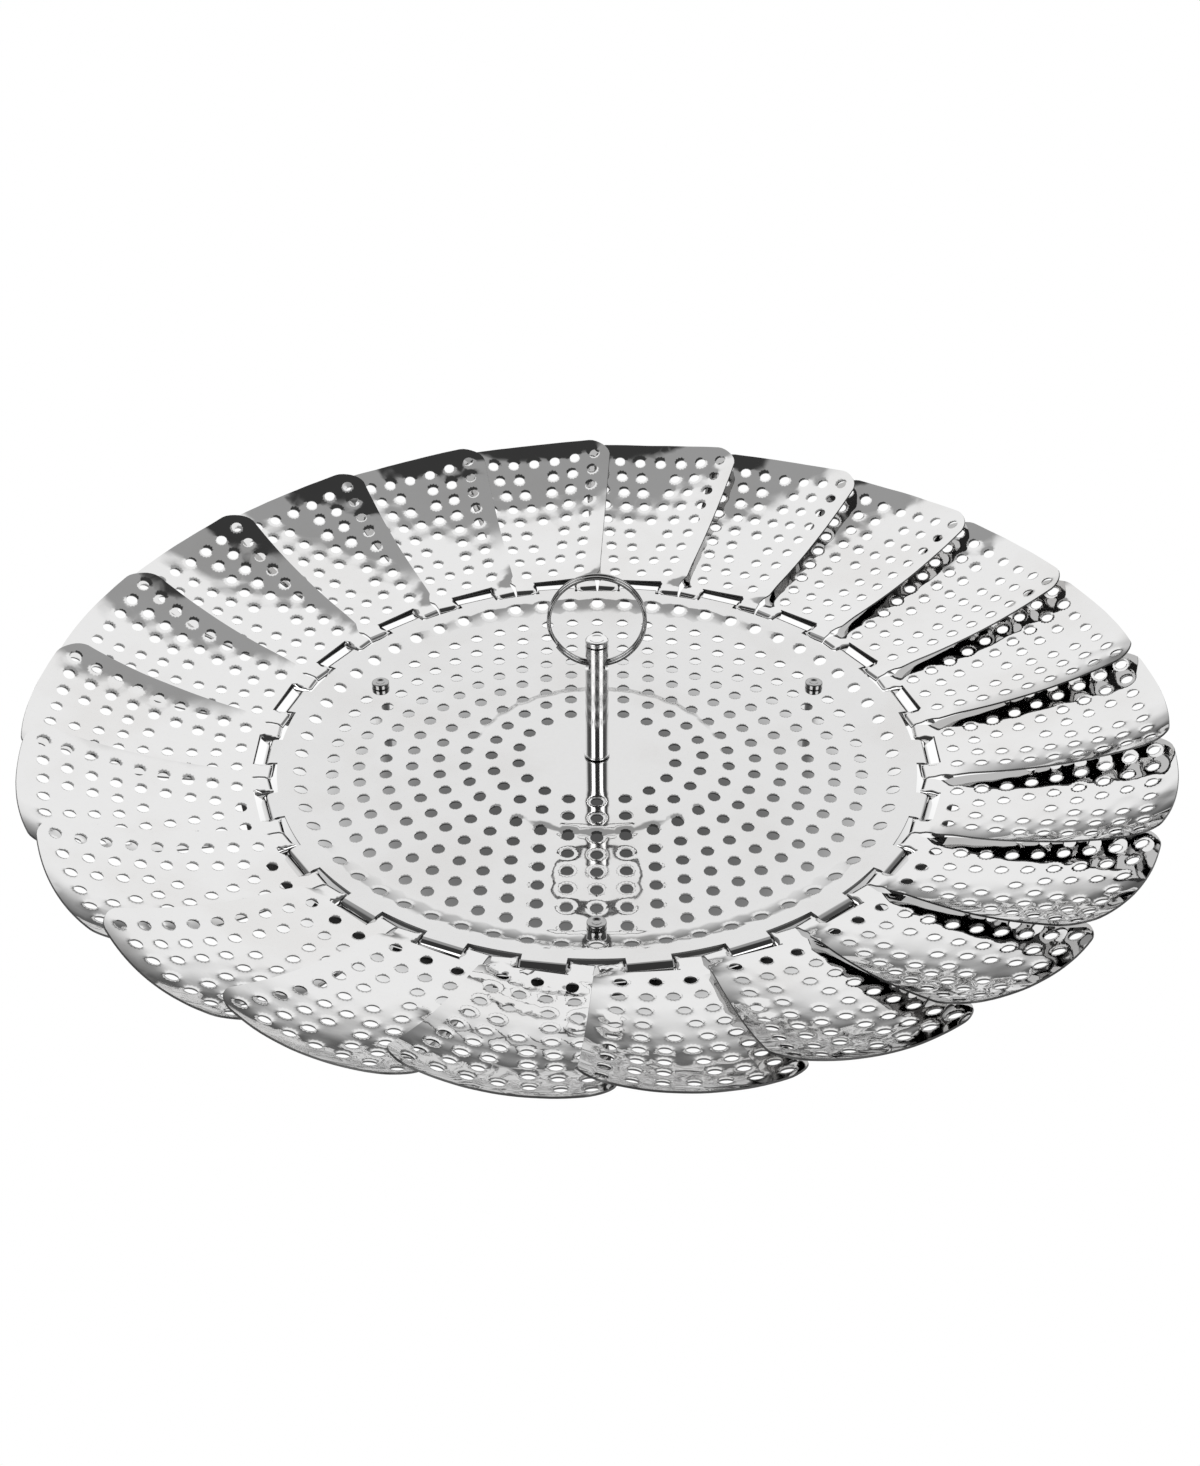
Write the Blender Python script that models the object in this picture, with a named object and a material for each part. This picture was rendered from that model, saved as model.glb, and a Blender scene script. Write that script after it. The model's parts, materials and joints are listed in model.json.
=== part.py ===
"""Collapsible vegetable steamer: a perforated base plate on three legs, a ring of folding petals
hinged round its rim, and a centre post with a split pull ring.

Metres, +Z up. The origin is on the floor, under the middle of the base plate, and the petals are
fully open. Azimuths are counted anticlockwise from +X, and petals clockwise from the back (+Y).
"""

import bpy
import bmesh
from math import asin, atan2, ceil, cos, pi, radians, sin, sqrt, tan, tau
from mathutils import Matrix, Vector
from mathutils.geometry import delaunay_2d_cdt

MM = 0.001

# Clearances and overruns
SEAT_GAP = 0.3 * MM
RUNNING_GAP = 0.3 * MM
OVERRUN = 1.0 * MM
WELD = 0.001 * MM

# Base plate: one pressed sheet with a raised middle, a flat field and a raised rim
PLATE_SHEET = 0.5 * MM
PLATE_LAND_WIDTH = 3.3 * MM
PLATE_STEP_WIDTH = 6.5 * MM
PLATE_RIM_RISE = 2.0 * MM
PLATEAU_RADIUS = 29.0 * MM
PLATEAU_BEND_WIDTH = 3.5 * MM
PLATEAU_RISE = 0.9 * MM
STEAM_HOLE_RADIUS = 1.6 * MM
STEAM_STEP_RING_INSET = 1.7 * MM
STEAM_FIRST_RING = 3
STEAM_LAST_RING = 10
STEAM_HOLES_PER_RING = 6

# Legs, riveted through the plate from above
LEG_COUNT = 3
LEG_FIRST_AZIMUTH = radians(270)
LEG_LENGTH = 28.0 * MM
LEG_RADIUS = 2.0 * MM
LEG_FOOT_CHAMFER = 0.5 * MM
RIVET_HEAD_RADIUS = 2.25 * MM
RIVET_HEAD_HEIGHT = 1.2 * MM
RIVET_HEAD_CHAMFER = 0.35 * MM
RIVET_STEP_GAP = 0.75 * MM
RIVET_DIMPLE_RADIUS = 1.1 * MM
RIVET_DIMPLE_DEPTH = 0.4 * MM
RIVET_SHANK_RADIUS = 1.1 * MM
RIVET_SHANK_LENGTH = 6.0 * MM

# Hinge: tongues of the rim curl down round a bar in each petal
PETAL_COUNT = 22
HINGE_RADIUS = 80.9 * MM
HINGE_BAR_RADIUS = 0.8 * MM
TONGUE_REACH = 3.1 * MM
TONGUE_WIDTH = 9.9 * MM
TONGUE_SIDE_GAP = 0.35 * MM
TONGUE_CURL = radians(230)

# Petal: a dished sheet that widens outwards, its clockwise edge raised over the next petal
PETAL_SHEET = 0.45 * MM
PETAL_RISE = 1.7 * MM
PETAL_LENGTH = 58.5 * MM
PETAL_INNER_SLOPE = radians(4.5)
PETAL_TIP_SLOPE = radians(26.8)
PETAL_INNER_DISH_RADIUS = 90.0 * MM
PETAL_TIP_DISH_RADIUS = 74.0 * MM
PETAL_DISH_START = 10.0 * MM
PETAL_TWIST = -0.075
PETAL_TWIST_START = 5.0 * MM
PETAL_EAR_LENGTH = 1.2 * MM
PETAL_EAR_GAP = 1.26 * MM
PETAL_FIRST_ROW = 6.7 * MM
PETAL_FIRST_ROW_OVERLAP = 0.9 * MM
PETAL_LAST_ROW_INSET = 6.2 * MM
PETAL_LAST_ROW_OVERLAP = 3.9 * MM
PETAL_HOLE_RADIUS = 1.55 * MM
PETAL_HOLE_PITCH = 6.0 * MM
PETAL_HOLE_ROWS = 5
PETAL_FIRST_HOLE_INSET = 6.0 * MM
PETAL_LAST_HOLE_INSET = 4.95 * MM
PETAL_FLARE_START = 2.5 * MM
PETAL_FLARE_END = 6.0 * MM
PETAL_TIP_BULGE = 2.6 * MM
PETAL_CORNER_RADIUS = 5.5 * MM
PETAL_WINDOW_GAP = 1.4 * MM
PETAL_LUG_HALF_LENGTH = 1.0 * MM
PETAL_LUG_SKIRT = 0.3 * MM

# Centre post: a tube, a plug in its top, and a screw and washer that hold it from below
POST_HEIGHT = 34.5 * MM
POST_RADIUS = 2.8 * MM
POST_WALL = 0.8 * MM
POST_COLLAR_STAND = 0.35 * MM
POST_COLLAR_HEIGHT = 0.5 * MM
POST_EYE_RADIUS = 2.0 * MM
CAP_HEIGHT = 1.4 * MM
CAP_CHAMFER = 0.5 * MM
CAP_LIP_WIDTH = 0.8 * MM
CAP_DISH_DEPTH = 0.3 * MM
CAP_SHANK_LENGTH = 2.4 * MM
CAP_EYE_GAP = 0.7 * MM
SCREW_SHANK_LENGTH = 14.0 * MM
SCREW_HEAD_RADIUS = 3.6 * MM
SCREW_HEAD_HEIGHT = 1.6 * MM
SCREW_HEAD_CHAMFER = 0.5 * MM
SCREW_SLOT_WIDTH = 1.0 * MM
SCREW_SLOT_DEPTH = 0.8 * MM
WASHER_RADIUS = 5.0 * MM
WASHER_THICKNESS = 0.8 * MM

# Pull ring: a split ring of two turns, with one jog where a turn crosses to the other side
RING_OUTER_RADIUS = 11.85 * MM
RING_WIRE_RADIUS = 0.5 * MM
RING_TURN_GAP = 0.45 * MM
RING_TURNS = 2
RING_STEPS_PER_TURN = 24
RING_LEAN = radians(5)
RING_END_AZIMUTH = radians(215)
RING_JOG_ANGLE = radians(30)

# Facets
PLATE_CREASE_SIDES = 44
PLATEAU_CREASE_SIDES = 36
RIM_STEPS_BETWEEN_TONGUES = 3
CURL_STEPS = 5
ROUND_SIDES = 16
ROD_SIDES = 12
BAR_SIDES = 8
SMALL_HOLE_SIDES = 8
PUNCHED_HOLE_SIDES = 4
SHARP_ANGLE = radians(30)
PETAL_EDGE_SHARES = (0.3, 0.5, 0.75)
PETAL_TIP_SHARES = (-0.5, 0.0, 0.5)
PETAL_CORNER_STEPS = 2

# Heights and radii that follow from the sizes above
PLATE_RIM_RADIUS = HINGE_RADIUS - TONGUE_REACH
PLATE_STEP_TOP_RADIUS = PLATE_RIM_RADIUS - PLATE_LAND_WIDTH
PLATE_STEP_FOOT_RADIUS = PLATE_STEP_TOP_RADIUS - PLATE_STEP_WIDTH
PLATEAU_FOOT_RADIUS = PLATEAU_RADIUS + PLATEAU_BEND_WIDTH
LEG_PITCH_RADIUS = PLATE_STEP_FOOT_RADIUS - RIVET_STEP_GAP - RIVET_HEAD_RADIUS
STEAM_RING_PITCH = LEG_PITCH_RADIUS / STEAM_LAST_RING
STEAM_STEP_RING_RADIUS = PLATE_STEP_TOP_RADIUS - STEAM_STEP_RING_INSET
PLATE_MIDDLE_Z = LEG_LENGTH + PLATE_SHEET / 2
PLATE_TOP_Z = LEG_LENGTH + PLATE_SHEET
PLATEAU_TOP_Z = PLATE_TOP_Z + PLATEAU_RISE
PLATEAU_UNDER_Z = LEG_LENGTH + PLATEAU_RISE
RIM_MIDDLE_Z = PLATE_MIDDLE_Z + PLATE_RIM_RISE
CURL_MIDDLE_RADIUS = HINGE_BAR_RADIUS + RUNNING_GAP + PLATE_SHEET / 2
HINGE_Z = RIM_MIDDLE_Z - CURL_MIDDLE_RADIUS
LUG_OFFSET = TONGUE_WIDTH / 2 + TONGUE_SIDE_GAP + PETAL_SHEET / 2
PETAL_STEP = tau / PETAL_COUNT
PETAL_EAR_HALF_WIDTH = HINGE_RADIUS * tan(PETAL_STEP / 2) - PETAL_EAR_GAP / 2
PETAL_LAST_ROW = PETAL_LENGTH - PETAL_LAST_ROW_INSET
PETAL_WINDOW_REACH = CURL_MIDDLE_RADIUS + PLATE_SHEET / 2 + PETAL_WINDOW_GAP
LEG_SOCKET_RADIUS = RIVET_SHANK_RADIUS + RUNNING_GAP
POST_BORE_RADIUS = POST_RADIUS - POST_WALL
POST_COLLAR_RADIUS = POST_RADIUS + POST_COLLAR_STAND
POST_TOP_Z = PLATE_TOP_Z + POST_HEIGHT
CAP_DISH_RADIUS = POST_RADIUS - CAP_CHAMFER - CAP_LIP_WIDTH
EYE_Z = POST_TOP_Z - CAP_HEIGHT - CAP_SHANK_LENGTH - CAP_EYE_GAP - POST_EYE_RADIUS
SCREW_SHANK_RADIUS = POST_BORE_RADIUS - RUNNING_GAP
SCREW_HOLE_RADIUS = SCREW_SHANK_RADIUS + RUNNING_GAP
RING_MIDDLE_RADIUS = RING_OUTER_RADIUS - RING_WIRE_RADIUS
RING_TURN_OFFSET = RING_WIRE_RADIUS + RING_TURN_GAP / 2
RING_DROP = (POST_EYE_RADIUS - RING_TURN_OFFSET - RING_WIRE_RADIUS) / 2


def clear_scene():
    for old in list(bpy.data.objects):
        bpy.data.objects.remove(old, do_unlink=True)


def steel(name, shade, roughness):
    material = bpy.data.materials.new(name)
    material.use_nodes = True
    shader = material.node_tree.nodes["Principled BSDF"]
    shader.inputs["Base Color"].default_value = (shade, shade, shade, 1.0)
    shader.inputs["Metallic"].default_value = 1.0
    shader.inputs["Roughness"].default_value = roughness
    return material


def add(name, mesh, material, matrix=Matrix.Identity(4)):
    """Link one solid to the scene, shaded smooth between its sharp edges."""
    if not mesh.materials:
        mesh.materials.append(material)
    mesh.shade_smooth()
    mesh.set_sharp_from_angle(angle=SHARP_ANGLE)
    solid = bpy.data.objects.new(name, mesh)
    solid.matrix_world = matrix
    bpy.context.scene.collection.objects.link(solid)
    return solid


def make_helper(solid):
    """Hide an object that only shapes another one."""
    solid.hide_render = True
    solid.display_type = "WIRE"
    return solid


def mesh_from(bm, name):
    bmesh.ops.recalc_face_normals(bm, faces=bm.faces)
    mesh = bpy.data.meshes.new(name)
    bm.to_mesh(mesh)
    bm.free()
    return mesh


def turned(name, profile, sides):
    """A solid turned about Z from a profile of (radius, height), open where it ends on the axis."""
    bm = bmesh.new()
    ring = [bm.verts.new((radius, 0, height)) for radius, height in profile]
    edges = [bm.edges.new(pair) for pair in zip(ring, ring[1:])]
    if profile[0][0] > 0:
        edges.append(bm.edges.new((ring[-1], ring[0])))
    bmesh.ops.spin(bm, geom=ring + edges, cent=(0, 0, 0), axis=(0, 0, 1), angle=tau, steps=sides,
                   use_merge=True)
    bmesh.ops.remove_doubles(bm, verts=bm.verts, dist=WELD)
    return mesh_from(bm, name)


def boolean(solid, tool, operation):
    cut = solid.modifiers.new(operation.lower(), "BOOLEAN")
    cut.operation = operation
    cut.object = tool
    cut.solver = "EXACT"


def thicken(solid, thickness):
    shell = solid.modifiers.new("sheet thickness", "SOLIDIFY")
    shell.thickness = thickness
    shell.offset = 0.0
    shell.use_even_offset = True


def evaluated_mesh(solid):
    graph = bpy.context.evaluated_depsgraph_get()
    return bpy.data.meshes.new_from_object(solid.evaluated_get(graph), depsgraph=graph)


def smooth_step(start, end, value):
    share = min(max((value - start) / (end - start), 0.0), 1.0)
    return share * share * (3 - 2 * share)


def on_circle(radius, azimuth):
    return Vector((radius * cos(azimuth), radius * sin(azimuth)))


def circle(radius, sides, centre=Vector((0, 0)), start=0.0):
    return [centre + on_circle(radius, start + tau * step / sides) for step in range(sides)]


def punched_hole(radius, centre, turn=0.0):
    """A hole with few sides but the area of the round one, with a flat side turned to an azimuth."""
    side_angle = tau / PUNCHED_HOLE_SIDES
    fair_radius = radius * sqrt(side_angle / sin(side_angle))
    return circle(fair_radius, PUNCHED_HOLE_SIDES, centre, turn + side_angle / 2)


def leg_azimuth(index):
    return LEG_FIRST_AZIMUTH + tau * index / LEG_COUNT


def petal_azimuth(index):
    return pi / 2 - PETAL_STEP * (index + 0.5)


# Base plate

def plate_height(radius):
    """Middle of the pressed sheet at a distance from the centre."""
    plateau = PLATEAU_RISE * (PLATEAU_FOOT_RADIUS - radius) / (PLATEAU_FOOT_RADIUS - PLATEAU_RADIUS)
    step = (radius - PLATE_STEP_FOOT_RADIUS) / (PLATE_STEP_TOP_RADIUS - PLATE_STEP_FOOT_RADIUS)
    rise = min(max(plateau, 0.0), PLATEAU_RISE) + PLATE_RIM_RISE * min(max(step, 0.0), 1.0)
    return PLATE_MIDDLE_Z + rise


def plate_outline():
    """The rim's edge, with a straight-sided tongue at every petal."""
    points = []
    root_angle = asin(TONGUE_WIDTH / 2 / PLATE_RIM_RADIUS)
    free_angle = PETAL_STEP - 2 * root_angle
    for index in range(PETAL_COUNT):
        azimuth = petal_azimuth(-index)
        outward = on_circle(1.0, azimuth)
        across = Vector((-outward.y, outward.x))
        for side in (-1, 1):
            tip = outward * HINGE_RADIUS + across * (side * TONGUE_WIDTH / 2)
            root = on_circle(PLATE_RIM_RADIUS, azimuth + side * root_angle)
            points += (root, tip) if side < 0 else (tip, root)
        for step in range(1, RIM_STEPS_BETWEEN_TONGUES):
            share = step / RIM_STEPS_BETWEEN_TONGUES
            points.append(on_circle(PLATE_RIM_RADIUS, azimuth + root_angle + free_angle * share))
    return points


def steam_holes():
    """Centres of the steam holes: rings of six more holes each, and one ring on the pressed step."""
    leg_places = [on_circle(LEG_PITCH_RADIUS, leg_azimuth(index)) for index in range(LEG_COUNT)]
    centres = []
    for ring in range(STEAM_FIRST_RING, STEAM_LAST_RING + 1):
        count = STEAM_HOLES_PER_RING * ring
        centres += circle(STEAM_RING_PITCH * ring, count, start=pi / 2)
    last_count = STEAM_HOLES_PER_RING * STEAM_LAST_RING
    centres += circle(STEAM_STEP_RING_RADIUS, last_count, start=pi / 2)
    keep_off = STEAM_HOLE_RADIUS + RIVET_HEAD_RADIUS
    return [centre for centre in centres
            if all((centre - place).length > keep_off for place in leg_places)]


def build_base_plate(material):
    loops = [punched_hole(STEAM_HOLE_RADIUS, centre, atan2(centre.y, centre.x)) for centre in steam_holes()]
    for index in range(LEG_COUNT):
        place = on_circle(LEG_PITCH_RADIUS, leg_azimuth(index))
        loops.append(circle(LEG_SOCKET_RADIUS, SMALL_HOLE_SIDES, place))
    loops.append(circle(SCREW_HOLE_RADIUS, SMALL_HOLE_SIDES))
    holes = len(loops)
    loops.append(plate_outline())
    for radius, sides in ((PLATE_STEP_TOP_RADIUS, PLATE_CREASE_SIDES),
                          (PLATE_STEP_FOOT_RADIUS, PLATE_CREASE_SIDES),
                          (PLATEAU_FOOT_RADIUS, PLATEAU_CREASE_SIDES),
                          (PLATEAU_RADIUS, PLATEAU_CREASE_SIDES)):
        loops.append(circle(radius, sides))

    points = []
    faces = []
    edges = []
    for number, loop in enumerate(loops):
        first = len(points)
        indices = list(range(first, first + len(loop)))
        points += loop
        if number <= holes:
            faces.append(indices)
        else:
            edges += [(a, b) for a, b in zip(indices, indices[1:] + indices[:1])]
    flat, _, triangles, _, _, sources = delaunay_2d_cdt(points, edges, faces, 1, WELD)

    bm = bmesh.new()
    verts = [bm.verts.new((p.x, p.y, plate_height(p.length))) for p in flat]
    for triangle, inside in zip(triangles, sources):
        if inside == [holes]:
            bm.faces.new([verts[index] for index in triangle])
    bmesh.ops.delete(bm, geom=[v for v in bm.verts if not v.link_faces], context="VERTS")
    curl_tongues(bm)
    plate = add("base_plate", mesh_from(bm, "base_plate"), material)
    thicken(plate, PLATE_SHEET)
    return plate


def curl_tongues(bm):
    """Roll the end of every tongue down and back under, round the hinge line."""
    for index in range(PETAL_COUNT):
        azimuth = petal_azimuth(index)
        outward = on_circle(1.0, azimuth)
        hinge = (outward * HINGE_RADIUS).to_3d() + Vector((0, 0, HINGE_Z))
        tip_edges = []
        for edge in bm.edges:
            reach = [(v.co.xy.dot(outward) - HINGE_RADIUS) for v in edge.verts]
            if max(abs(r) for r in reach) < WELD and edge.is_boundary:
                tip_edges.append(edge)
        ends = [v for edge in tip_edges for v in edge.verts]
        bmesh.ops.spin(bm, geom=ends + tip_edges, cent=hinge, axis=(-outward.y, outward.x, 0),
                       angle=TONGUE_CURL, steps=CURL_STEPS)
    bmesh.ops.remove_doubles(bm, verts=bm.verts, dist=WELD)


# Petals

def petal_half_width(along):
    """Half width of the sheet at a distance from the hinge line, up to the outer corners.
    The edges pass the middle line between two petals by an overlap that grows outwards.
    """
    row_share = (along - PETAL_FIRST_ROW) / (PETAL_LAST_ROW - PETAL_FIRST_ROW)
    overlap = PETAL_FIRST_ROW_OVERLAP + (PETAL_LAST_ROW_OVERLAP - PETAL_FIRST_ROW_OVERLAP) * row_share
    flare = (HINGE_RADIUS + along) * tan(PETAL_STEP / 2) + overlap
    share = smooth_step(PETAL_FLARE_START, PETAL_FLARE_END, along)
    return PETAL_EAR_HALF_WIDTH + (flare - PETAL_EAR_HALF_WIDTH) * share


def petal_point(along, across):
    """A point of the sheet's middle: x outward from the hinge line, y anticlockwise, z up from its bar."""
    bend_radius = PETAL_LENGTH / (PETAL_TIP_SLOPE - PETAL_INNER_SLOPE)
    slope = PETAL_INNER_SLOPE + max(along, 0.0) / bend_radius
    before = min(along, 0.0)
    x = bend_radius * (sin(slope) - sin(PETAL_INNER_SLOPE)) + before * cos(PETAL_INNER_SLOPE)
    z = bend_radius * (cos(PETAL_INNER_SLOPE) - cos(slope)) + before * sin(PETAL_INNER_SLOPE)
    share = min(max(along / PETAL_LENGTH, 0.0), 1.0)
    dish_radius = PETAL_INNER_DISH_RADIUS + (PETAL_TIP_DISH_RADIUS - PETAL_INNER_DISH_RADIUS) * share
    turn = across / dish_radius * smooth_step(0.0, PETAL_DISH_START, along)
    side = across * (sin(turn) / turn if turn else 1.0)
    lift = across * ((1 - cos(turn)) / turn if turn else 0.0)
    twist = PETAL_TWIST * smooth_step(0.0, PETAL_TWIST_START, along)
    y = side * cos(twist) - lift * sin(twist)
    up = side * sin(twist) + lift * cos(twist)
    return Vector((x - up * sin(slope), y, z + up * cos(slope) + PETAL_RISE))


def petal_outline():
    """The flat blank's edge as (along, across), round from one side of the window to the other."""
    corner_start = PETAL_LENGTH - PETAL_TIP_BULGE - PETAL_CORNER_RADIUS
    edge = [(along, petal_half_width(along)) for along in (-PETAL_EAR_LENGTH, PETAL_FLARE_START, PETAL_FLARE_END)]
    edge += [(corner_start * share, petal_half_width(corner_start * share)) for share in PETAL_EDGE_SHARES]
    corner_half_width = petal_half_width(corner_start)
    edge.append((corner_start, corner_half_width))
    for step in range(1, PETAL_CORNER_STEPS + 1):
        angle = pi / 2 * step / PETAL_CORNER_STEPS
        edge.append((corner_start + PETAL_CORNER_RADIUS * sin(angle),
                     corner_half_width - PETAL_CORNER_RADIUS * (1 - cos(angle))))
    tip_along, tip_half_width = edge[-1]
    tip = [(tip_along + PETAL_TIP_BULGE * (1 - share ** 2), tip_half_width * share) for share in PETAL_TIP_SHARES]
    half = [(PETAL_WINDOW_REACH, LUG_OFFSET), (-PETAL_EAR_LENGTH, LUG_OFFSET)] + edge
    mirrored = [(along, -across) for along, across in half]
    return [Vector(point) for point in mirrored + tip + half[::-1]]


def petal_holes():
    """Centres of the holes. Each row is filled from the sheet's edges to its middle.
    These are every second row of the real sheet's, without the holes on its middle line.
    """
    centres = []
    for row in range(PETAL_HOLE_ROWS):
        share = row / (PETAL_HOLE_ROWS - 1)
        along = PETAL_FIRST_ROW + (PETAL_LAST_ROW - PETAL_FIRST_ROW) * share
        inset = PETAL_FIRST_HOLE_INSET + (PETAL_LAST_HOLE_INSET - PETAL_FIRST_HOLE_INSET) * share
        across = petal_half_width(along) - inset
        while across > PETAL_HOLE_PITCH / 2:
            centres += [Vector((along, across)), Vector((along, -across))]
            across -= PETAL_HOLE_PITCH
    return centres


def petal_sheet(bm):
    """Lay out the flat blank round its holes and bend it to shape."""
    loops = [petal_outline()] + [punched_hole(PETAL_HOLE_RADIUS, centre) for centre in petal_holes()]
    points = []
    faces = []
    for loop in loops:
        faces.append(list(range(len(points), len(points) + len(loop))))
        points += loop
    flat, _, triangles, _, _, sources = delaunay_2d_cdt(points, [], faces, 1, WELD)
    verts = [bm.verts.new(petal_point(p.x, p.y)) for p in flat]
    for triangle, inside in zip(triangles, sources):
        if inside == [0]:
            bm.faces.new([verts[index] for index in triangle])
    bmesh.ops.delete(bm, geom=[v for v in bm.verts if not v.link_faces], context="VERTS")


def build_petal_mesh(material):
    """One stamping: the dished sheet with its window, two lugs bent down and the hinge bar between."""
    bm = bmesh.new()
    petal_sheet(bm)
    add_lugs(bm)
    sheet = make_helper(add("petal_sheet", mesh_from(bm, "petal_sheet"), material))
    thicken(sheet, PETAL_SHEET)
    bar_profile = ((0, -LUG_OFFSET), (HINGE_BAR_RADIUS, -LUG_OFFSET),
                   (HINGE_BAR_RADIUS, LUG_OFFSET), (0, LUG_OFFSET))
    lay_down = Matrix.Rotation(pi / 2, 4, "X")
    bar = make_helper(add("petal_bar", turned("petal_bar", bar_profile, BAR_SIDES), material, lay_down))
    boolean(sheet, bar, "UNION")
    return evaluated_mesh(sheet)


def add_lugs(bm):
    """Bend a lug down from each side of the window, past the hinge bar."""
    foot = -HINGE_BAR_RADIUS - PETAL_LUG_SKIRT
    for offset in (-LUG_OFFSET, LUG_OFFSET):
        window_side = [min(bm.verts, key=lambda v: (v.co - petal_point(along, offset)).length)
                       for along in (-PETAL_EAR_LENGTH, PETAL_WINDOW_REACH)]
        low = [bm.verts.new((along, offset, foot)) for along in (PETAL_LUG_HALF_LENGTH, -PETAL_LUG_HALF_LENGTH)]
        bm.faces.new(window_side + low)


def build_petals(material):
    mesh = build_petal_mesh(material)
    for index in range(PETAL_COUNT):
        azimuth = petal_azimuth(index)
        outward = on_circle(1.0, azimuth)
        frame = Matrix((
            (outward.x, -outward.y, 0, outward.x * HINGE_RADIUS),
            (outward.y, outward.x, 0, outward.y * HINGE_RADIUS),
            (0, 0, 1, HINGE_Z),
            (0, 0, 0, 1),
        ))
        add(f"petal_{index + 1:02d}", mesh, material, frame)


# Legs and their rivets

def build_legs(material):
    socket_depth = RIVET_SHANK_LENGTH + OVERRUN
    top = LEG_LENGTH - SEAT_GAP
    leg_profile = (
        (0, 0), (LEG_RADIUS - LEG_FOOT_CHAMFER, 0), (LEG_RADIUS, LEG_FOOT_CHAMFER), (LEG_RADIUS, top),
        (LEG_SOCKET_RADIUS, top), (LEG_SOCKET_RADIUS, top - socket_depth), (0, top - socket_depth),
    )
    seat = PLATE_TOP_Z + SEAT_GAP
    head = seat + RIVET_HEAD_HEIGHT
    rivet_profile = (
        (0, PLATE_TOP_Z - RIVET_SHANK_LENGTH), (RIVET_SHANK_RADIUS, PLATE_TOP_Z - RIVET_SHANK_LENGTH),
        (RIVET_SHANK_RADIUS, seat), (RIVET_HEAD_RADIUS, seat),
        (RIVET_HEAD_RADIUS, head - RIVET_HEAD_CHAMFER), (RIVET_HEAD_RADIUS - RIVET_HEAD_CHAMFER, head),
        (RIVET_DIMPLE_RADIUS, head), (0, head - RIVET_DIMPLE_DEPTH),
    )
    leg_mesh = turned("leg", leg_profile, ROD_SIDES)
    rivet_mesh = turned("leg_rivet", rivet_profile, ROD_SIDES)
    for index in range(LEG_COUNT):
        place = Matrix.Translation(on_circle(LEG_PITCH_RADIUS, leg_azimuth(index)).to_3d())
        add(f"leg_{index + 1}", leg_mesh, material, place)
        add(f"leg_rivet_{index + 1}", rivet_mesh, material, place)


# Centre post

def build_post(material):
    foot = PLATEAU_TOP_Z + SEAT_GAP
    tube_top = POST_TOP_Z - CAP_HEIGHT - SEAT_GAP
    tube_profile = (
        (POST_BORE_RADIUS, foot), (POST_COLLAR_RADIUS, foot),
        (POST_COLLAR_RADIUS, foot + POST_COLLAR_HEIGHT), (POST_RADIUS, foot + POST_COLLAR_HEIGHT),
        (POST_RADIUS, tube_top), (POST_BORE_RADIUS, tube_top),
    )
    tube = add("post_tube", turned("post_tube", tube_profile, ROUND_SIDES), material)
    drill_reach = POST_RADIUS + OVERRUN
    drill_profile = ((0, -drill_reach), (POST_EYE_RADIUS, -drill_reach),
                     (POST_EYE_RADIUS, drill_reach), (0, drill_reach))
    crosswise = Matrix.Translation((0, 0, EYE_Z)) @ Matrix.Rotation(pi / 2, 4, "Y")
    drill = make_helper(add("eye_drill", turned("eye_drill", drill_profile, ROD_SIDES), material, crosswise))
    boolean(tube, drill, "DIFFERENCE")

    plug_radius = POST_BORE_RADIUS - RUNNING_GAP
    cap_foot = POST_TOP_Z - CAP_HEIGHT
    plug_foot = cap_foot - CAP_SHANK_LENGTH
    cap_profile = (
        (0, plug_foot), (plug_radius, plug_foot), (plug_radius, cap_foot), (POST_RADIUS, cap_foot),
        (POST_RADIUS, POST_TOP_Z - CAP_CHAMFER), (POST_RADIUS - CAP_CHAMFER, POST_TOP_Z),
        (CAP_DISH_RADIUS, POST_TOP_Z), (0, POST_TOP_Z - CAP_DISH_DEPTH),
    )
    add("post_cap", turned("post_cap", cap_profile, ROUND_SIDES), material)

    washer_top = PLATEAU_UNDER_Z - SEAT_GAP
    washer_foot = washer_top - WASHER_THICKNESS
    washer_profile = ((SCREW_HOLE_RADIUS, washer_foot), (WASHER_RADIUS, washer_foot),
                      (WASHER_RADIUS, washer_top), (SCREW_HOLE_RADIUS, washer_top))
    add("post_washer", turned("post_washer", washer_profile, ROUND_SIDES), material)

    head_top = washer_foot - SEAT_GAP
    head_foot = head_top - SCREW_HEAD_HEIGHT
    shank_top = head_top + SCREW_SHANK_LENGTH
    screw_profile = (
        (0, head_foot), (SCREW_HEAD_RADIUS - SCREW_HEAD_CHAMFER, head_foot),
        (SCREW_HEAD_RADIUS, head_foot + SCREW_HEAD_CHAMFER), (SCREW_HEAD_RADIUS, head_top),
        (SCREW_SHANK_RADIUS, head_top), (SCREW_SHANK_RADIUS, shank_top), (0, shank_top),
    )
    screw = add("post_screw", turned("post_screw", screw_profile, ROUND_SIDES), material)
    bm = bmesh.new()
    bmesh.ops.create_cube(bm, size=1.0)
    slot_size = Vector((2 * SCREW_HEAD_RADIUS + 2 * OVERRUN, SCREW_SLOT_WIDTH, 2 * SCREW_SLOT_DEPTH))
    bmesh.ops.scale(bm, vec=slot_size, verts=bm.verts)
    slot = add("slot_cutter", mesh_from(bm, "slot_cutter"), material, Matrix.Translation((0, 0, head_foot)))
    boolean(screw, make_helper(slot), "DIFFERENCE")


# Pull ring

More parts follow.
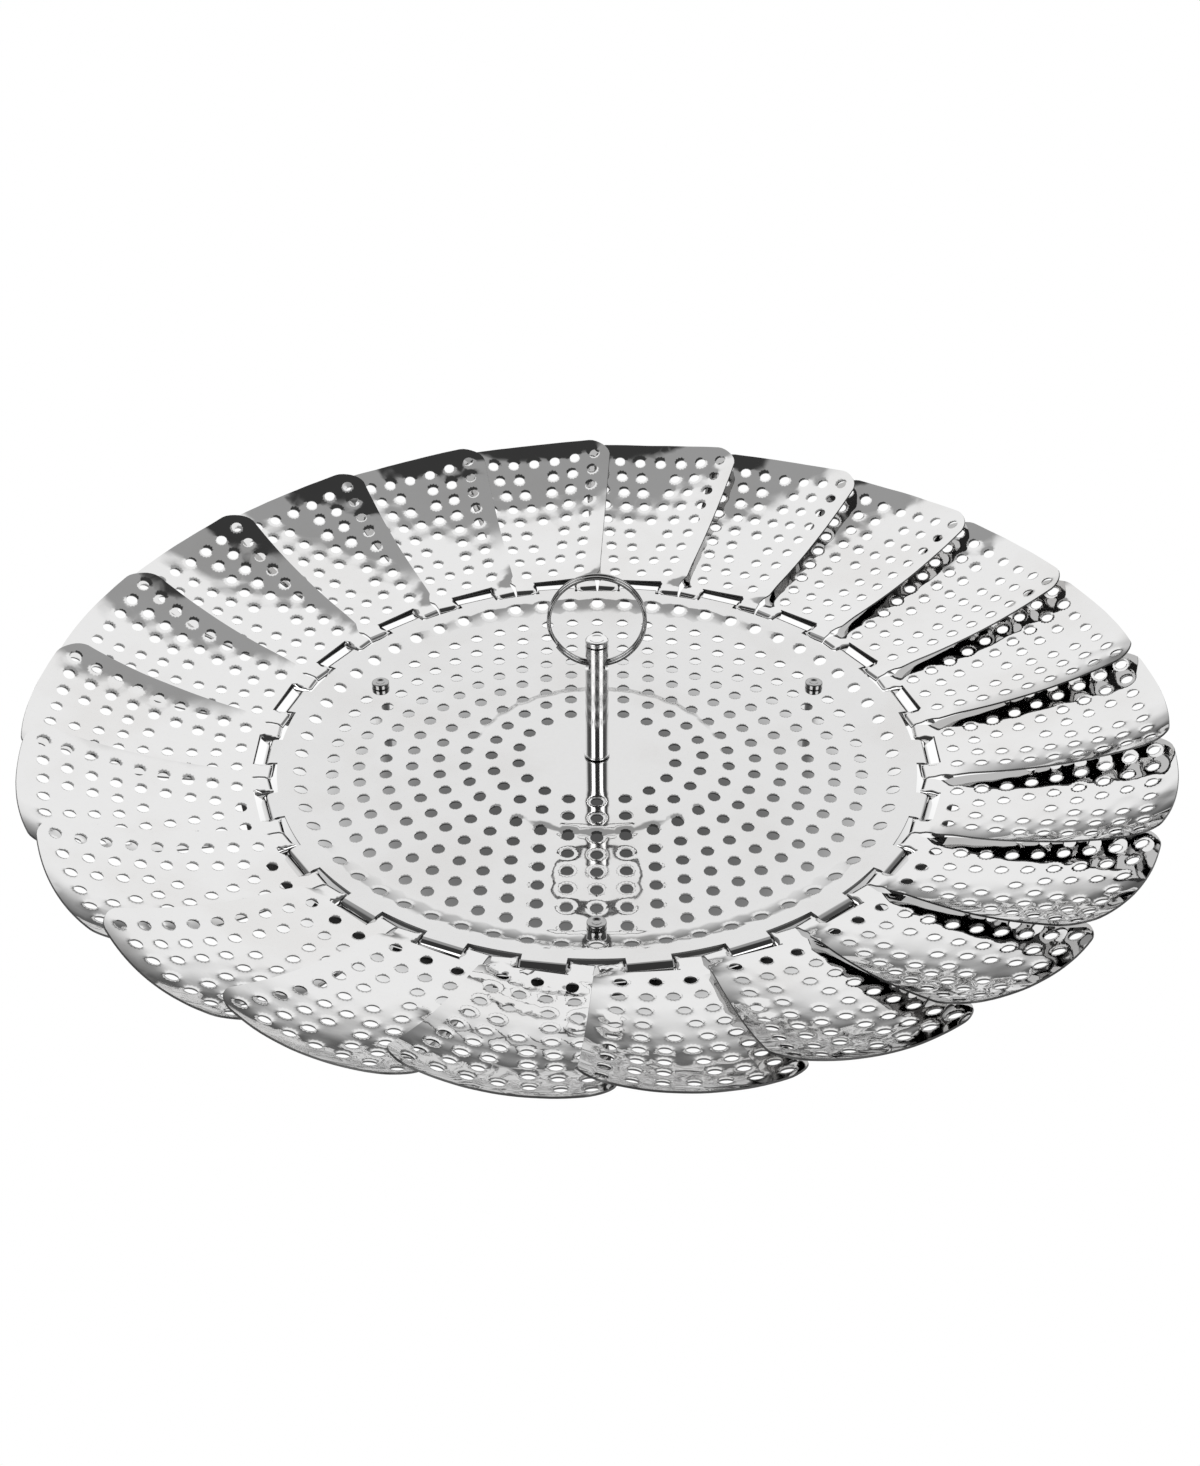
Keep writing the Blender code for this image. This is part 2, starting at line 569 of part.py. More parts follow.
def ring_point(turned_angle):
    """A point of the wire, in the ring's own plane XZ, at an angle wound from its first end."""
    jog_start = tau - RING_JOG_ANGLE
    crossing = smooth_step(jog_start, tau, turned_angle)
    azimuth = RING_END_AZIMUTH + turned_angle
    return Vector((RING_MIDDLE_RADIUS * cos(azimuth),
                   RING_TURN_OFFSET * (2 * crossing - 1),
                   RING_MIDDLE_RADIUS * (1 + sin(azimuth))))


def least_turn_gap(wound, steps):
    """Least gap between the wire and itself, half a turn or more further on."""
    fine = steps * RING_STEPS_PER_TURN
    points = [ring_point(wound * step / fine) for step in range(fine + 1)]
    apart = ceil(fine * pi / wound)
    nearest = min((a - b).length for i, a in enumerate(points) for b in points[i + apart:])
    return nearest - 2 * RING_WIRE_RADIUS


def build_pull_ring(material):
    """The split ring stands on the post's eye, which its pivot empty marks, and leans back."""
    wound = RING_TURNS * tau - RING_JOG_ANGLE
    steps = ceil(RING_TURNS * RING_STEPS_PER_TURN * wound / (RING_TURNS * tau))
    points = [ring_point(wound * step / steps) for step in range(steps + 1)]
    print(f"pull ring: least gap between its turns {least_turn_gap(wound, steps) / MM:.2f} mm")

    curve = bpy.data.curves.new("pull_ring", "CURVE")
    curve.dimensions = "3D"
    curve.bevel_depth = RING_WIRE_RADIUS
    curve.bevel_resolution = 1
    curve.use_fill_caps = True
    spline = curve.splines.new("POLY")
    spline.points.add(len(points) - 1)
    for knot, point in zip(spline.points, points):
        knot.co = (*point, 1.0)
    curve.materials.append(material)
    pivot = bpy.data.objects.new("pull_ring_pivot", None)
    pivot.location = (0, 0, EYE_Z - RING_DROP)
    pivot.rotation_euler = (-RING_LEAN, 0, 0)
    ring = bpy.data.objects.new("pull_ring", curve)
    ring.parent = pivot
    for part in (pivot, ring):
        bpy.context.scene.collection.objects.link(part)


def main():
    clear_scene()
    polished = steel("polished steel", 0.72, 0.08)
    wire = steel("bright steel wire", 0.68, 0.12)
    build_base_plate(polished)
    build_petals(polished)
    build_legs(polished)
    build_post(polished)
    build_pull_ring(wire)
    bpy.context.view_layer.update()


main()
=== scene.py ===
# %% [markdown]
# # A folding vegetable steamer
#
# The real thing is a stamped kitchen tool of polished stainless steel: a perforated base plate on three
# riveted rods, 22 overlapping petals on tongues curled from its rim, and a tube in the middle that carries
# a split pull ring. Nearly all that we see is sheet metal half a millimetre thick, so this script is mostly
# about one question: how to make a pressed, perforated sheet that reflects like the real one.
#
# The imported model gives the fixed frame: each node's place, the joints' axes and the bodies that move. We
# read sizes from it where we can, and dress it with finer meshes that ride on the same bodies.

# %% The frame
import json
import math

import bmesh
import bpy
import numpy as np
from mathutils import Matrix, Vector
from mathutils.geometry import delaunay_2d_cdt


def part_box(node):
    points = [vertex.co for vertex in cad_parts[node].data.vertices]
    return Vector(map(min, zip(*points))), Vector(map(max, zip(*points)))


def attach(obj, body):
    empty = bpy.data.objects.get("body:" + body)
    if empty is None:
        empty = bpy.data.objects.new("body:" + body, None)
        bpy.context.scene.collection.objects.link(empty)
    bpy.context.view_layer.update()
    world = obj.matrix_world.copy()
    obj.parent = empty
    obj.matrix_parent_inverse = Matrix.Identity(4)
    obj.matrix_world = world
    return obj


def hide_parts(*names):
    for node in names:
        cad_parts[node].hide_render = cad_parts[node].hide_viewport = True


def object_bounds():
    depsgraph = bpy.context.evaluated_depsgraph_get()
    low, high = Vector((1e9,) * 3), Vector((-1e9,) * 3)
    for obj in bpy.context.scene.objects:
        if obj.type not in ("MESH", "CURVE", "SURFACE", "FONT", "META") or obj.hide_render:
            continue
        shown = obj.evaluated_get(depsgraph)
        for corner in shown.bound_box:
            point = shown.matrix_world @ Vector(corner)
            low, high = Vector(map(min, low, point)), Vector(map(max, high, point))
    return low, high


MM = 0.001
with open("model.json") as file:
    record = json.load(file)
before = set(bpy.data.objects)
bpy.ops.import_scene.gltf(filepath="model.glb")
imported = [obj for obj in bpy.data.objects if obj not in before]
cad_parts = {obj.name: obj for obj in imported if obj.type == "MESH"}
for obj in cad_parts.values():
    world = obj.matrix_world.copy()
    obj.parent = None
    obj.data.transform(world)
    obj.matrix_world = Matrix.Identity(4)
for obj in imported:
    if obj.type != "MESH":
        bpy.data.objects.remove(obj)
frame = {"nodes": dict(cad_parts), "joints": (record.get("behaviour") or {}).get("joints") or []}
cad_low, cad_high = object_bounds()
joints = {joint["name"]: joint for joint in frame["joints"]}


def add_object(name, data):
    """A new object in the scene."""
    new = bpy.data.objects.new(name, data)
    bpy.context.scene.collection.objects.link(new)
    return new


print("CAD box in mm:", [round(side / MM, 1) for side in cad_high - cad_low])

# %% [markdown]
# ## Camera
#
# The photograph looks down on the basket from the front. Where the rim's far and near sides fall in it
# fixes the camera's height and tilt, and the width of the basket its distance. The lens stays plain, with
# no shift and no depth of field, so that other views can move it freely.

# %% Camera
CAMERA_PLACE = Vector((0.74, -412.3, 316.1)) * MM
CAMERA_TILT = math.radians(55.8)
CAMERA_LENS = 50.0
CAMERA_CLIP = 10 * MM

camera_data = bpy.data.cameras.new("photo_camera")
camera_data.lens = CAMERA_LENS
camera_data.clip_start = CAMERA_CLIP
camera = add_object("photo_camera", camera_data)
camera.location = CAMERA_PLACE
camera.rotation_euler = (CAMERA_TILT, 0.0, 0.0)
bpy.context.scene.camera = camera
bpy.context.scene.view_settings.view_transform = "Standard"
print("camera looks down by", round(90 - math.degrees(CAMERA_TILT), 1), "degrees")

# %% [markdown]
# ## Shader maths as plain Python
#
# A node tree is easy to draw and hard to read in code. Two small classes help. `Wire` wraps a node's output
# and overloads the arithmetic signs, so that `0.05 + 0.1 * smudge` adds its own Math nodes. `Tree` has one
# method that adds any other node from its type, its settings and its sockets.

# %% Wires and trees
class Wire:
    """The output of a shader node, as a value that Python can reckon with."""

    def __init__(self, tree, socket):
        self.tree = tree
        self.socket = socket

    def reckon(self, operation, first, second):
        return self.tree.node("ShaderNodeMath", {"operation": operation}, {0: first, 1: second})

    def __add__(self, other):
        return self.reckon("ADD", self, other)

    def __radd__(self, other):
        return self.reckon("ADD", other, self)

    def __sub__(self, other):
        return self.reckon("SUBTRACT", self, other)

    def __rsub__(self, other):
        return self.reckon("SUBTRACT", other, self)

    def __mul__(self, other):
        return self.reckon("MULTIPLY", self, other)

    def __rmul__(self, other):
        return self.reckon("MULTIPLY", other, self)


class Tree:
    """The node tree of a material or a world, emptied and ready to fill."""

    def __init__(self, owner):
        owner.use_nodes = True
        self.nodes = owner.node_tree.nodes
        self.links = owner.node_tree.links
        self.nodes.clear()

    def node(self, kind, settings=None, sockets=None, output=0):
        """Add a node: its settings first, then the value or the wire of each socket."""
        new = self.nodes.new(kind)
        for name, value in (settings or {}).items():
            setattr(new, name, value)
        for name, value in (sockets or {}).items():
            if isinstance(value, Wire):
                self.links.new(value.socket, new.inputs[name])
            else:
                new.inputs[name].default_value = value
        return Wire(self, new.outputs[output]) if len(new.outputs) else new


def smooth_range(tree, value, low, high, first=0.0, last=1.0):
    """Pass softly from a first result to a last one while a value goes from low to high."""
    return tree.node("ShaderNodeMapRange", {"interpolation_type": "SMOOTHSTEP"}, {
        "Value": value, "From Min": low, "From Max": high, "To Min": first, "To Max": last})


print("wires and trees are ready")

# %% [markdown]
# ## Light
#
# Polished steel has no colour of its own: it shows the room. Here the room is a white tent with one dark
# opening overhead and towards the camera, and a hazy grey border round it. What leans towards the camera,
# such as the far petals' tips, mirrors the opening. The rest mirrors white cloth, which darkens towards the
# horizon. Two bright panels beside the camera and two dim flags far out at the sides draw light and dark
# stripes on the post. Lamps would give small highlights instead. The camera itself sees plain white.

# %% Sizes of the tent
TENT_GLOW = 1.15
OPENING_SHARE = 0.045
HAZE_SHARE = 0.33
HORIZON_SHARE = 0.06
HORIZON_HEIGHT = 0.34
OPENING_DIRECTION = Vector((0.0, -0.6, 0.8))
OPENING_EDGE = (math.radians(44), math.radians(48))
HAZE_EDGE = (math.radians(62), math.radians(70))
FOLD_SCALE = 5.0
FOLD_DETAIL = 3.0
FOLD_DEPTH = 0.15
PANEL_DIRECTION = Vector((0.56, -0.66, 0.5))
PANEL_EDGE = (math.radians(13), math.radians(18))
PANEL_GLOW = 2.2
FLAG_DIRECTION = Vector((1.0, 0.0, 0.0))
FLAG_EDGE = (math.radians(38), math.radians(50))
FLAG_SHARE = 0.15
print("dark opening:", round(math.degrees(2 * OPENING_EDGE[0])), "degrees across")

# %% World
world = bpy.data.worlds.new("white_tent")
bpy.context.scene.world = world
tree = Tree(world)
direction = tree.node("ShaderNodeTexCoord", output="Generated")
noise = tree.node("ShaderNodeTexNoise", {}, {
    "Vector": direction, "Scale": FOLD_SCALE, "Detail": FOLD_DETAIL})
folds = (noise - 0.5) * FOLD_DEPTH
across, ahead, height = (
    tree.node("ShaderNodeSeparateXYZ", {}, {0: direction}, output=axis) for axis in "XYZ")
aside = tree.node("ShaderNodeMath", {"operation": "ABSOLUTE"}, {0: across})
mirrored = tree.node("ShaderNodeCombineXYZ", {}, {0: aside, 1: ahead, 2: height})


def outside(middle, edge):
    """Nothing inside a cone about a middle direction, one outside it, and soft between two angles."""
    facing = tree.node("ShaderNodeVectorMath", {"operation": "DOT_PRODUCT"},
                       {0: mirrored, 1: middle.normalized()}, output="Value") + folds
    return smooth_range(tree, facing, math.cos(edge[1]), math.cos(edge[0]), 1.0, 0.0)


opening = outside(OPENING_DIRECTION, OPENING_EDGE)
haze = outside(OPENING_DIRECTION, HAZE_EDGE)
panel = 1 - outside(PANEL_DIRECTION, PANEL_EDGE)
flag = FLAG_SHARE + (1 - FLAG_SHARE) * outside(FLAG_DIRECTION, FLAG_EDGE)
rise = smooth_range(tree, height, 0.0, HORIZON_HEIGHT, HORIZON_SHARE)
cloth = OPENING_SHARE + (opening * HAZE_SHARE + haze * (1 - HAZE_SHARE - OPENING_SHARE)) * rise * flag
glow = tree.node("ShaderNodeMath", {"operation": "MAXIMUM"}, {0: cloth, 1: panel * PANEL_GLOW}) * TENT_GLOW
seen_by_camera = tree.node("ShaderNodeLightPath", output="Is Camera Ray")
strength = seen_by_camera + (1 - seen_by_camera) * glow
background = tree.node("ShaderNodeBackground", {}, {"Color": (1.0, 1.0, 1.0, 1.0), "Strength": strength})
tree.node("ShaderNodeOutputWorld", {}, {"Surface": background})
print("nodes of the tent:", len(world.node_tree.nodes))

# %% [markdown]
# ## Floor
#
# The basket stands on a pale table lit as brightly as the tent. Under the plate the table lies in the
# basket's own shade, which we see through the holes: dark grey in the middle, white outside. A plane that
# glows by itself, darker towards its middle, gives just that without any noise.

# %% Floor
FLOOR_SIZE = 6.0
FLOOR_GAP = 0.2 * MM
FLOOR_SHADE_SHIFT = 12 * MM
FLOOR_SHADES = ((0.0, 0.08), (20.0, 0.085), (40.0, 0.14), (50.0, 0.2), (60.0, 0.34),
                (70.0, 0.5), (77.0, 0.7), (84.0, 0.88), (92.0, 1.0))
FLOOR_REACH = FLOOR_SHADES[-1][0] * MM

floor_mesh = bpy.data.meshes.new("pale_floor")
bm = bmesh.new()
bmesh.ops.create_grid(bm, x_segments=1, y_segments=1, size=FLOOR_SIZE / 2)
bm.to_mesh(floor_mesh)
bm.free()
floor = add_object("pale_floor", floor_mesh)
floor.location = (0.0, FLOOR_SHADE_SHIFT, cad_low.z - FLOOR_GAP)

floor_finish = bpy.data.materials.new("pale_floor")
tree = Tree(floor_finish)
place = tree.node("ShaderNodeTexCoord", output="Object")
distance = tree.node("ShaderNodeVectorMath", {"operation": "LENGTH"}, {0: place}, output="Value")
ramp = tree.node("ShaderNodeValToRGB", {}, {"Fac": distance * (1 / FLOOR_REACH)})
stops = ramp.socket.node.color_ramp.elements
while len(stops) < len(FLOOR_SHADES):
    stops.new(1.0)
for stop, (radius, shade) in zip(stops, FLOOR_SHADES):
    stop.position = radius * MM / FLOOR_REACH
    stop.color = (shade, shade, shade, 1.0)
shine = tree.node("ShaderNodeEmission", {}, {"Color": ramp, "Strength": 1.0})
tree.node("ShaderNodeOutputMaterial", {}, {"Surface": shine})
floor_mesh.materials.append(floor_finish)
print("floor at", round(floor.location.z / MM, 2), "mm")

# %% [markdown]
# ## Steel finishes
#
# All the pieces are stainless steel, but the sheets were rolled and polished, the post turned, the legs
# drawn, and the ring made of bright wire. One function makes every finish from a few numbers. Faint clouds
# in the roughness are what tells handled steel from a perfect mirror, and a very fine grain softens the
# deepest blacks. The rivets and the ring are darker than the other steel as painted shade. Two darker
# finishes serve for sheared edges, rough and partly painted shade, and for folds and the hem, near black as
# painted shade.

# %% Steel
CLOUD_NOISE = (45.0, 4.0)
CLOUD_EDGE = (0.45, 0.7)
CLOUD_SHARE = 0.6
SPECK_NOISE = (900.0, 2.0)
GRAIN_DETAIL = 1.0
GRAIN_STRENGTH = 0.25
WORN_SHARES = (0.93, 0.92, 0.91)


def steel(name, shade, roughness, smudge, grain_size, grain_depth):
    """A polished steel whose smudges and grain, in millimetres, vary over the surface."""
    material = bpy.data.materials.new(name)
    tree = Tree(material)
    place = tree.node("ShaderNodeTexCoord", output="Object")
    clouds, specks, grain = (
        tree.node("ShaderNodeTexNoise", {}, {"Vector": place, "Scale": scale, "Detail": detail})
        for scale, detail in (CLOUD_NOISE, SPECK_NOISE, (1 / (grain_size * MM), GRAIN_DETAIL)))
    worn = smooth_range(tree, clouds, *CLOUD_EDGE) * CLOUD_SHARE + specks * (1 - CLOUD_SHARE)
    colour = tree.node("ShaderNodeMix", {"data_type": "RGBA"}, {
        0: worn,
        6: (shade, shade, shade, 1.0),
        7: (*(shade * share for share in WORN_SHARES), 1.0),
    }, output=2)
    bump = tree.node("ShaderNodeBump", {}, {
        "Strength": GRAIN_STRENGTH, "Distance": grain_depth * MM, "Height": grain})
    shader = tree.node("ShaderNodeBsdfPrincipled", {}, {
        "Base Color": colour,
        "Metallic": 1.0,
        "Roughness": roughness + smudge * worn,
        "Normal": bump,
    })
    tree.node("ShaderNodeOutputMaterial", {}, {"Surface": shader})
    return material


PLATE_FINISH = steel("polished_plate", 0.66, 0.025, 0.05, 0.35, 0.001)
PETAL_FINISH = steel("polished_petal", 0.71, 0.02, 0.04, 0.35, 0.0007)
POST_FINISH = steel("turned_post", 0.76, 0.1, 0.04, 0.25, 0.0005)
# Darker than the other steel, as painted shade: the rivets' sides look almost black.
RIVET_PAINTED_SHADE_FINISH = steel("headed_rivet_painted_shade", 0.4, 0.12, 0.06, 0.25, 0.0005)
LEG_FINISH = steel("drawn_rod", 0.7, 0.22, 0.12, 0.3, 0.004)
# Darker than the other steel, as painted shade: the ring's wire reads as dark lines.
WIRE_PAINTED_SHADE_FINISH = steel("bright_wire_painted_shade", 0.38, 0.02, 0.04, 0.3, 0.0005)
# Rough steel for sheared edges, darkened further as painted shade on the walls of holes and outlines.
SHEARED_EDGE_AND_SHADE_FINISH = steel("sheared_edge_and_shade", 0.13, 0.4, 0.15, 0.3, 0.004)
# Near-black finish that is painted shade, for the folded strips' insides and the hem under the rim.
PAINTED_SHADE_FINISH = steel("painted_shade_fold", 0.05, 0.45, 0.1, 0.3, 0.004)
print("finishes:", len(bpy.data.materials) - 1)

# %% [markdown]
# ## Meshes with exact normals
#
# A mirror shows every error of a surface's normals, and averaged normals wobble wherever small triangles
# meet large ones. We know each surface as a formula, so we work out its true normal at each corner and hand
# it to the mesh. Writing from arrays is also much quicker than adding faces one by one.

# %% Mesh writer
LEAST_LENGTH = 1e-12


def unit(vectors):
    return vectors / np.maximum(np.linalg.norm(vectors, axis=-1, keepdims=True), LEAST_LENGTH)


class Shell:
    """One closed surface: points, arrays of three- or four-cornered faces, and a normal for each corner.

    Each array of faces has the number of its finish, the first one if nothing is said.
    """

    def __init__(self, points, face_sets, corner_normals, finish_numbers=None):
        self.points = points
        self.face_sets = face_sets
        self.corner_normals = corner_normals
        self.finish_numbers = finish_numbers or [0] * len(face_sets)

    def moved(self, turn, origin):
        points = self.points @ turn.T + origin
        return Shell(points, self.face_sets, self.corner_normals @ turn.T, self.finish_numbers)


def write_mesh(name, shells, finishes):
    """Write one or more shells into a single mesh."""
    firsts = np.cumsum([0] + [len(shell.points) for shell in shells])
    face_sets = [faces + first for shell, first in zip(shells, firsts) for faces in shell.face_sets]
    points = np.concatenate([shell.points for shell in shells])
    corner_normals = np.concatenate([shell.corner_normals for shell in shells])
    corners = np.concatenate([faces.ravel() for faces in face_sets]).astype(np.int32)
    sizes = np.concatenate([np.full(len(faces), faces.shape[1]) for faces in face_sets])
    starts = np.concatenate(([0], np.cumsum(sizes)[:-1])).astype(np.int32)
    mesh = bpy.data.meshes.new(name)
    mesh.vertices.add(len(points))
    mesh.vertices.foreach_set("co", points.astype(np.float32).ravel())
    mesh.loops.add(len(corners))
    mesh.loops.foreach_set("vertex_index", corners)
    mesh.polygons.add(len(sizes))
    mesh.polygons.foreach_set("loop_start", starts)
    for finish in finishes:
        mesh.materials.append(finish)
    numbers = [np.full(len(faces), number) for shell in shells
               for faces, number in zip(shell.face_sets, shell.finish_numbers)]
    mesh.polygons.foreach_set("material_index", np.concatenate(numbers).astype(np.int32))
    mesh.update(calc_edges=True)
    mesh.normals_split_custom_set(corner_normals.tolist())
    return mesh


def make_piece(name, shells, finishes, body, node):
    """Put shells into the scene as a piece that rides on a body and stands for a CAD node."""
    piece = add_object(name, write_mesh(name, shells, finishes))
    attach(piece, body)
    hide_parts(node)
    return piece


print("mesh writer is ready")

# %% [markdown]
# ## Laying out a perforated sheet
#
# In the factory the blank is punched flat and pressed afterwards. We do the same: triangulate the flat
# blank around its holes, then bend it with a formula. Four rings of points around each hole make room for
# its rounded edge, and a loose triangular grid fills what is left. Cutting the holes with a Boolean would
# work too, but leaves long thin triangles that spoil the reflections.

# %% Layout
HOLE_SIDES = 16
DRAW_REACHES = (0.12 * MM, 0.3 * MM, 0.6 * MM, 1.15 * MM)
TRIANGLES_INSIDE = 1
SAME_PLACE = 1e-7


def ring_of_points(centre, radius, sides, start=0.0):
    angles = start + np.arange(sides) * math.tau / sides
    return np.asarray(centre) + radius * np.column_stack((np.cos(angles), np.sin(angles)))


def least_distances(points, others, chunk=2000):
    """Distance from each point to the nearest of the others."""
    found = [np.sqrt(((part[:, None] - others[None]) ** 2).sum(-1).min(1))
             for part in np.array_split(points, 1 + len(points) // chunk)]
    return np.concatenate(found)


def triangular_grid(low, high, spacing):
    rows = np.arange(low[1], high[1], spacing * math.sqrt(3) / 2)
    columns = np.arange(low[0], high[0], spacing)
    shift = np.where(np.arange(len(rows)) % 2, spacing / 2, 0.0)
    return np.column_stack(((columns[None] + shift[:, None]).ravel(), np.repeat(rows, len(columns))))


def triangulate(loops, inner):
    """Triangles between loops of points: the first loop is the edge and the others are holes."""
    ends = np.cumsum([0] + [len(loop) for loop in loops])
    faces = [list(range(start, end)) for start, end in zip(ends[:-1], ends[1:])]
    points = [Vector(point) for point in np.concatenate((*loops, *inner))]
    flat, _, triangles, _, _, sources = delaunay_2d_cdt(points, [], faces, TRIANGLES_INSIDE, SAME_PLACE)
    kept = np.array([corners for corners, inside in zip(triangles, sources) if inside == [0]])
    return np.array([tuple(point) for point in flat]), kept


def keep_used(points, triangles):
    """Leave out the points that belong to no triangle."""
    used, numbered = np.unique(triangles, return_inverse=True)
    return points[used], numbered.reshape(-1, 3)


def lay_out(outline, centres, radii, spacing, grid_radius=1.0, extra=()):
    """Points and triangles of a flat sheet with round holes, given as centres and radii.

    The loose grid ends at a radius, and extra points serve where the sheet bends tightly.
    """
    loops = [outline] + [ring_of_points(c, r, HOLE_SIDES) for c, r in zip(centres, radii)]
    half_turn = math.pi / HOLE_SIDES
    rings = [ring_of_points(c, r + reach, HOLE_SIDES, half_turn * (1 - number))
             for number, reach in enumerate(DRAW_REACHES) for c, r in zip(centres, radii)]
    loose = np.concatenate(rings)
    loose = loose[least_distances(loose, outline) > DRAW_REACHES[0]]
    grid = triangular_grid(outline.min(0), outline.max(0), spacing)
    clear = max(radii) + DRAW_REACHES[-1] + spacing / 3
    grid = grid[least_distances(grid, np.asarray(centres)) > clear]
    grid = grid[least_distances(grid, outline) > spacing / 2]
    grid = grid[np.linalg.norm(grid, axis=1) < grid_radius]
    return keep_used(*triangulate(loops, (loose, grid, np.reshape(extra, (-1, 2)))))


print("layout is ready")

# %% [markdown]
# ## Pressing the sheet
#
# `press` takes the flat layout and a function that says where each point of the blank ends up. It finds
# the normal from two small steps along the blank, moves half a thickness to each side, and closes the cut
# edges with walls. Their normals are smooth where an edge runs round, as in a hole, and sharp at a corner.
# `sweep` is its companion for wire and bars.

# %% Press
SMOOTH_TURN = math.cos(math.radians(32))
PROBE = 0.05 * MM


def rim_edges(triangles):
    """Directed edges that belong to one triangle only, with the sheet on their left."""
    edges = np.concatenate([triangles[:, (0, 1)], triangles[:, (1, 2)], triangles[:, (2, 0)]])
    count = triangles.max() + 1
    forward = edges[:, 0] * count + edges[:, 1]
    backward = edges[:, 1] * count + edges[:, 0]
    return edges[~np.isin(forward, backward)]


def press(flat, triangles, surface, thickness):
    """Bend a flat layout by a surface and give it thickness, exact normals, and walls of finish 1."""
    middle = surface(flat)
    step_x = surface(flat + (PROBE, 0.0)) - surface(flat - (PROBE, 0.0))
    step_y = surface(flat + (0.0, PROBE)) - surface(flat - (0.0, PROBE))
    normals = unit(np.cross(step_x, step_y))
    points = np.concatenate((middle + normals * thickness / 2, middle - normals * thickness / 2))
    count = len(flat)
    edges = rim_edges(triangles)
    start, end = edges.T
    outward = unit(np.cross(middle[end] - middle[start], normals[start] + normals[end]))
    smooth = np.zeros((count, 3))
    np.add.at(smooth, start, outward)
    np.add.at(smooth, end, outward)
    smooth = unit(smooth)
    ends = []
    for corner in (start, end):
        gentle = (smooth[corner] * outward).sum(1, keepdims=True) > SMOOTH_TURN
        ends.append(np.where(gentle, smooth[corner], outward))
    walls = np.column_stack((start + count, end + count, end, start))
    wall_normals = np.stack((ends[0], ends[1], ends[1], ends[0]), axis=1).reshape(-1, 3)
    under = triangles[:, ::-1]
    corner_normals = np.concatenate((normals[triangles.ravel()], -normals[under.ravel()], wall_normals))
    return Shell(points, [triangles, under + count, walls], corner_normals, [0, 0, 1])


def sweep(line, aside, radius, sides):
    """A round rod along a line that never runs along the direction aside, with flat ends."""
    run = unit(np.gradient(line, axis=0))
    side = unit(np.cross(run, aside))
    other = np.cross(side, run)
    angles = np.arange(sides) * math.tau / sides
    spokes = np.cos(angles)[None, :, None] * side[:, None] + np.sin(angles)[None, :, None] * other[:, None]
    points = (line[:, None] + radius * spokes).reshape(-1, 3)
    first = np.arange(sides)
    second = np.roll(first, -1)
    rows = [np.column_stack((first, first + sides, second + sides, second)) + sides * row
            for row in range(len(line) - 1)]
    walls = np.concatenate(rows)
    last = len(points)
    start_fan = np.column_stack((second, np.full(sides, last), first))
    end_fan = np.column_stack((first, np.full(sides, sides + 1), second)) + last - sides
    fan_normals = np.repeat((-run[0], run[-1]), 3 * sides, axis=0)
    normals = np.concatenate((spokes.reshape(-1, 3)[walls.ravel()], fan_normals))
    return Shell(np.concatenate((points, line[:1], line[-1:])), [walls, start_fan, end_fan], normals)


def share_of(start, end, value):
    return (value - start) / (end - start)


def mix(start, end, share):
    return start + (end - start) * share


def ease(start, end, value):
    share = np.clip(share_of(start, end, value), 0.0, 1.0)
    return share * share * (3 - 2 * share)


def pressed_profile(slopes, radii, rise):
    """Heights along a line of radii whose slopes are given up to a factor, from nothing to a rise."""
    steps = (slopes[1:] + slopes[:-1]) / 2 * np.diff(radii)
    heights = np.concatenate(([0.0], np.cumsum(steps)))
    return heights * rise / heights[-1]


def waves(flat, seed, least, most, height, count=7):
    """Gentle unevenness of a rolled sheet: a few sine waves with lengths from least to most."""
    chance = np.random.default_rng(seed)
    total = np.zeros(len(flat))
    for _ in range(count):
        length = chance.uniform(least, most)
        heading = chance.uniform(0, math.tau)
        phase = chance.uniform(0, math.tau)
        travel = flat @ (math.cos(heading), math.sin(heading)) * math.tau / length
        total += np.sin(travel + phase) * length / most
    return total * height / math.sqrt(count)


print("press is ready")

# %% [markdown]
# ## Base plate
#
# The plate is one pressing: a raised middle for the post, a flat field, and a step up to the rim. Its holes
# lie on rings, each with six more than the one inside it, so they stay evenly spaced. At each petal the rim
# runs out into a tongue that curls down and back under. Seen flat, a tongue is just a longer tab: the
# surface function rolls it up, in three bends, round the hinge line of the petal's joint.

# %% Sizes of the base plate
PETAL_COUNT = sum(name.startswith("petal_") for name in frame["nodes"])
PETAL_STEP = math.tau / PETAL_COUNT
HINGE_RADIUS = Vector(joints["petal_01_fold"]["pos_m"]).xy.length
PLATE_SHEET = 0.5 * MM
PLATE_TOP_Z = 28.5 * MM
PLATE_RIM_RADIUS = 78.2 * MM
PLATE_RIM_RISE = 2.0 * MM
PLATE_GRID_SPACING = 2.6 * MM
STEP_SPAN = (67.0 * MM, 74.5 * MM)
STEP_FOOT_SHARES = (-0.1, 0.35)
STEP_TOP_SHARES = (0.94, 1.04)
STEP_STEEPNESS = 1.05
STEP_STEEPENING = 0.3
PLATEAU_SPAN = (28.2 * MM, 33.2 * MM)
PLATEAU_RISE = 0.9 * MM
PLATEAU_TOP_SHARES = (-0.1, 0.45)
PLATEAU_FOOT_SHARES = (0.55, 1.1)
PROFILE_REACH = 80 * MM
PROFILE_STEP = 0.02 * MM
PLATE_WAVE_SEED = 5
PLATE_WAVE_LENGTHS = (30 * MM, 70 * MM)
PLATE_WAVE_HEIGHT = 0.05 * MM
PLATE_WAVE_FADE_SHARES = (0.9, 1.0)
STEAM_HOLE_RADIUS = 1.65 * MM
STEAM_RING_PITCH = 6.5 * MM
STEAM_STEP_RING_RADIUS = 72.8 * MM
STEAM_RINGS = range(3, 11)
STEAM_RING_GROWTH = 6
SCREW_HOLE_RADIUS = 2.0 * MM
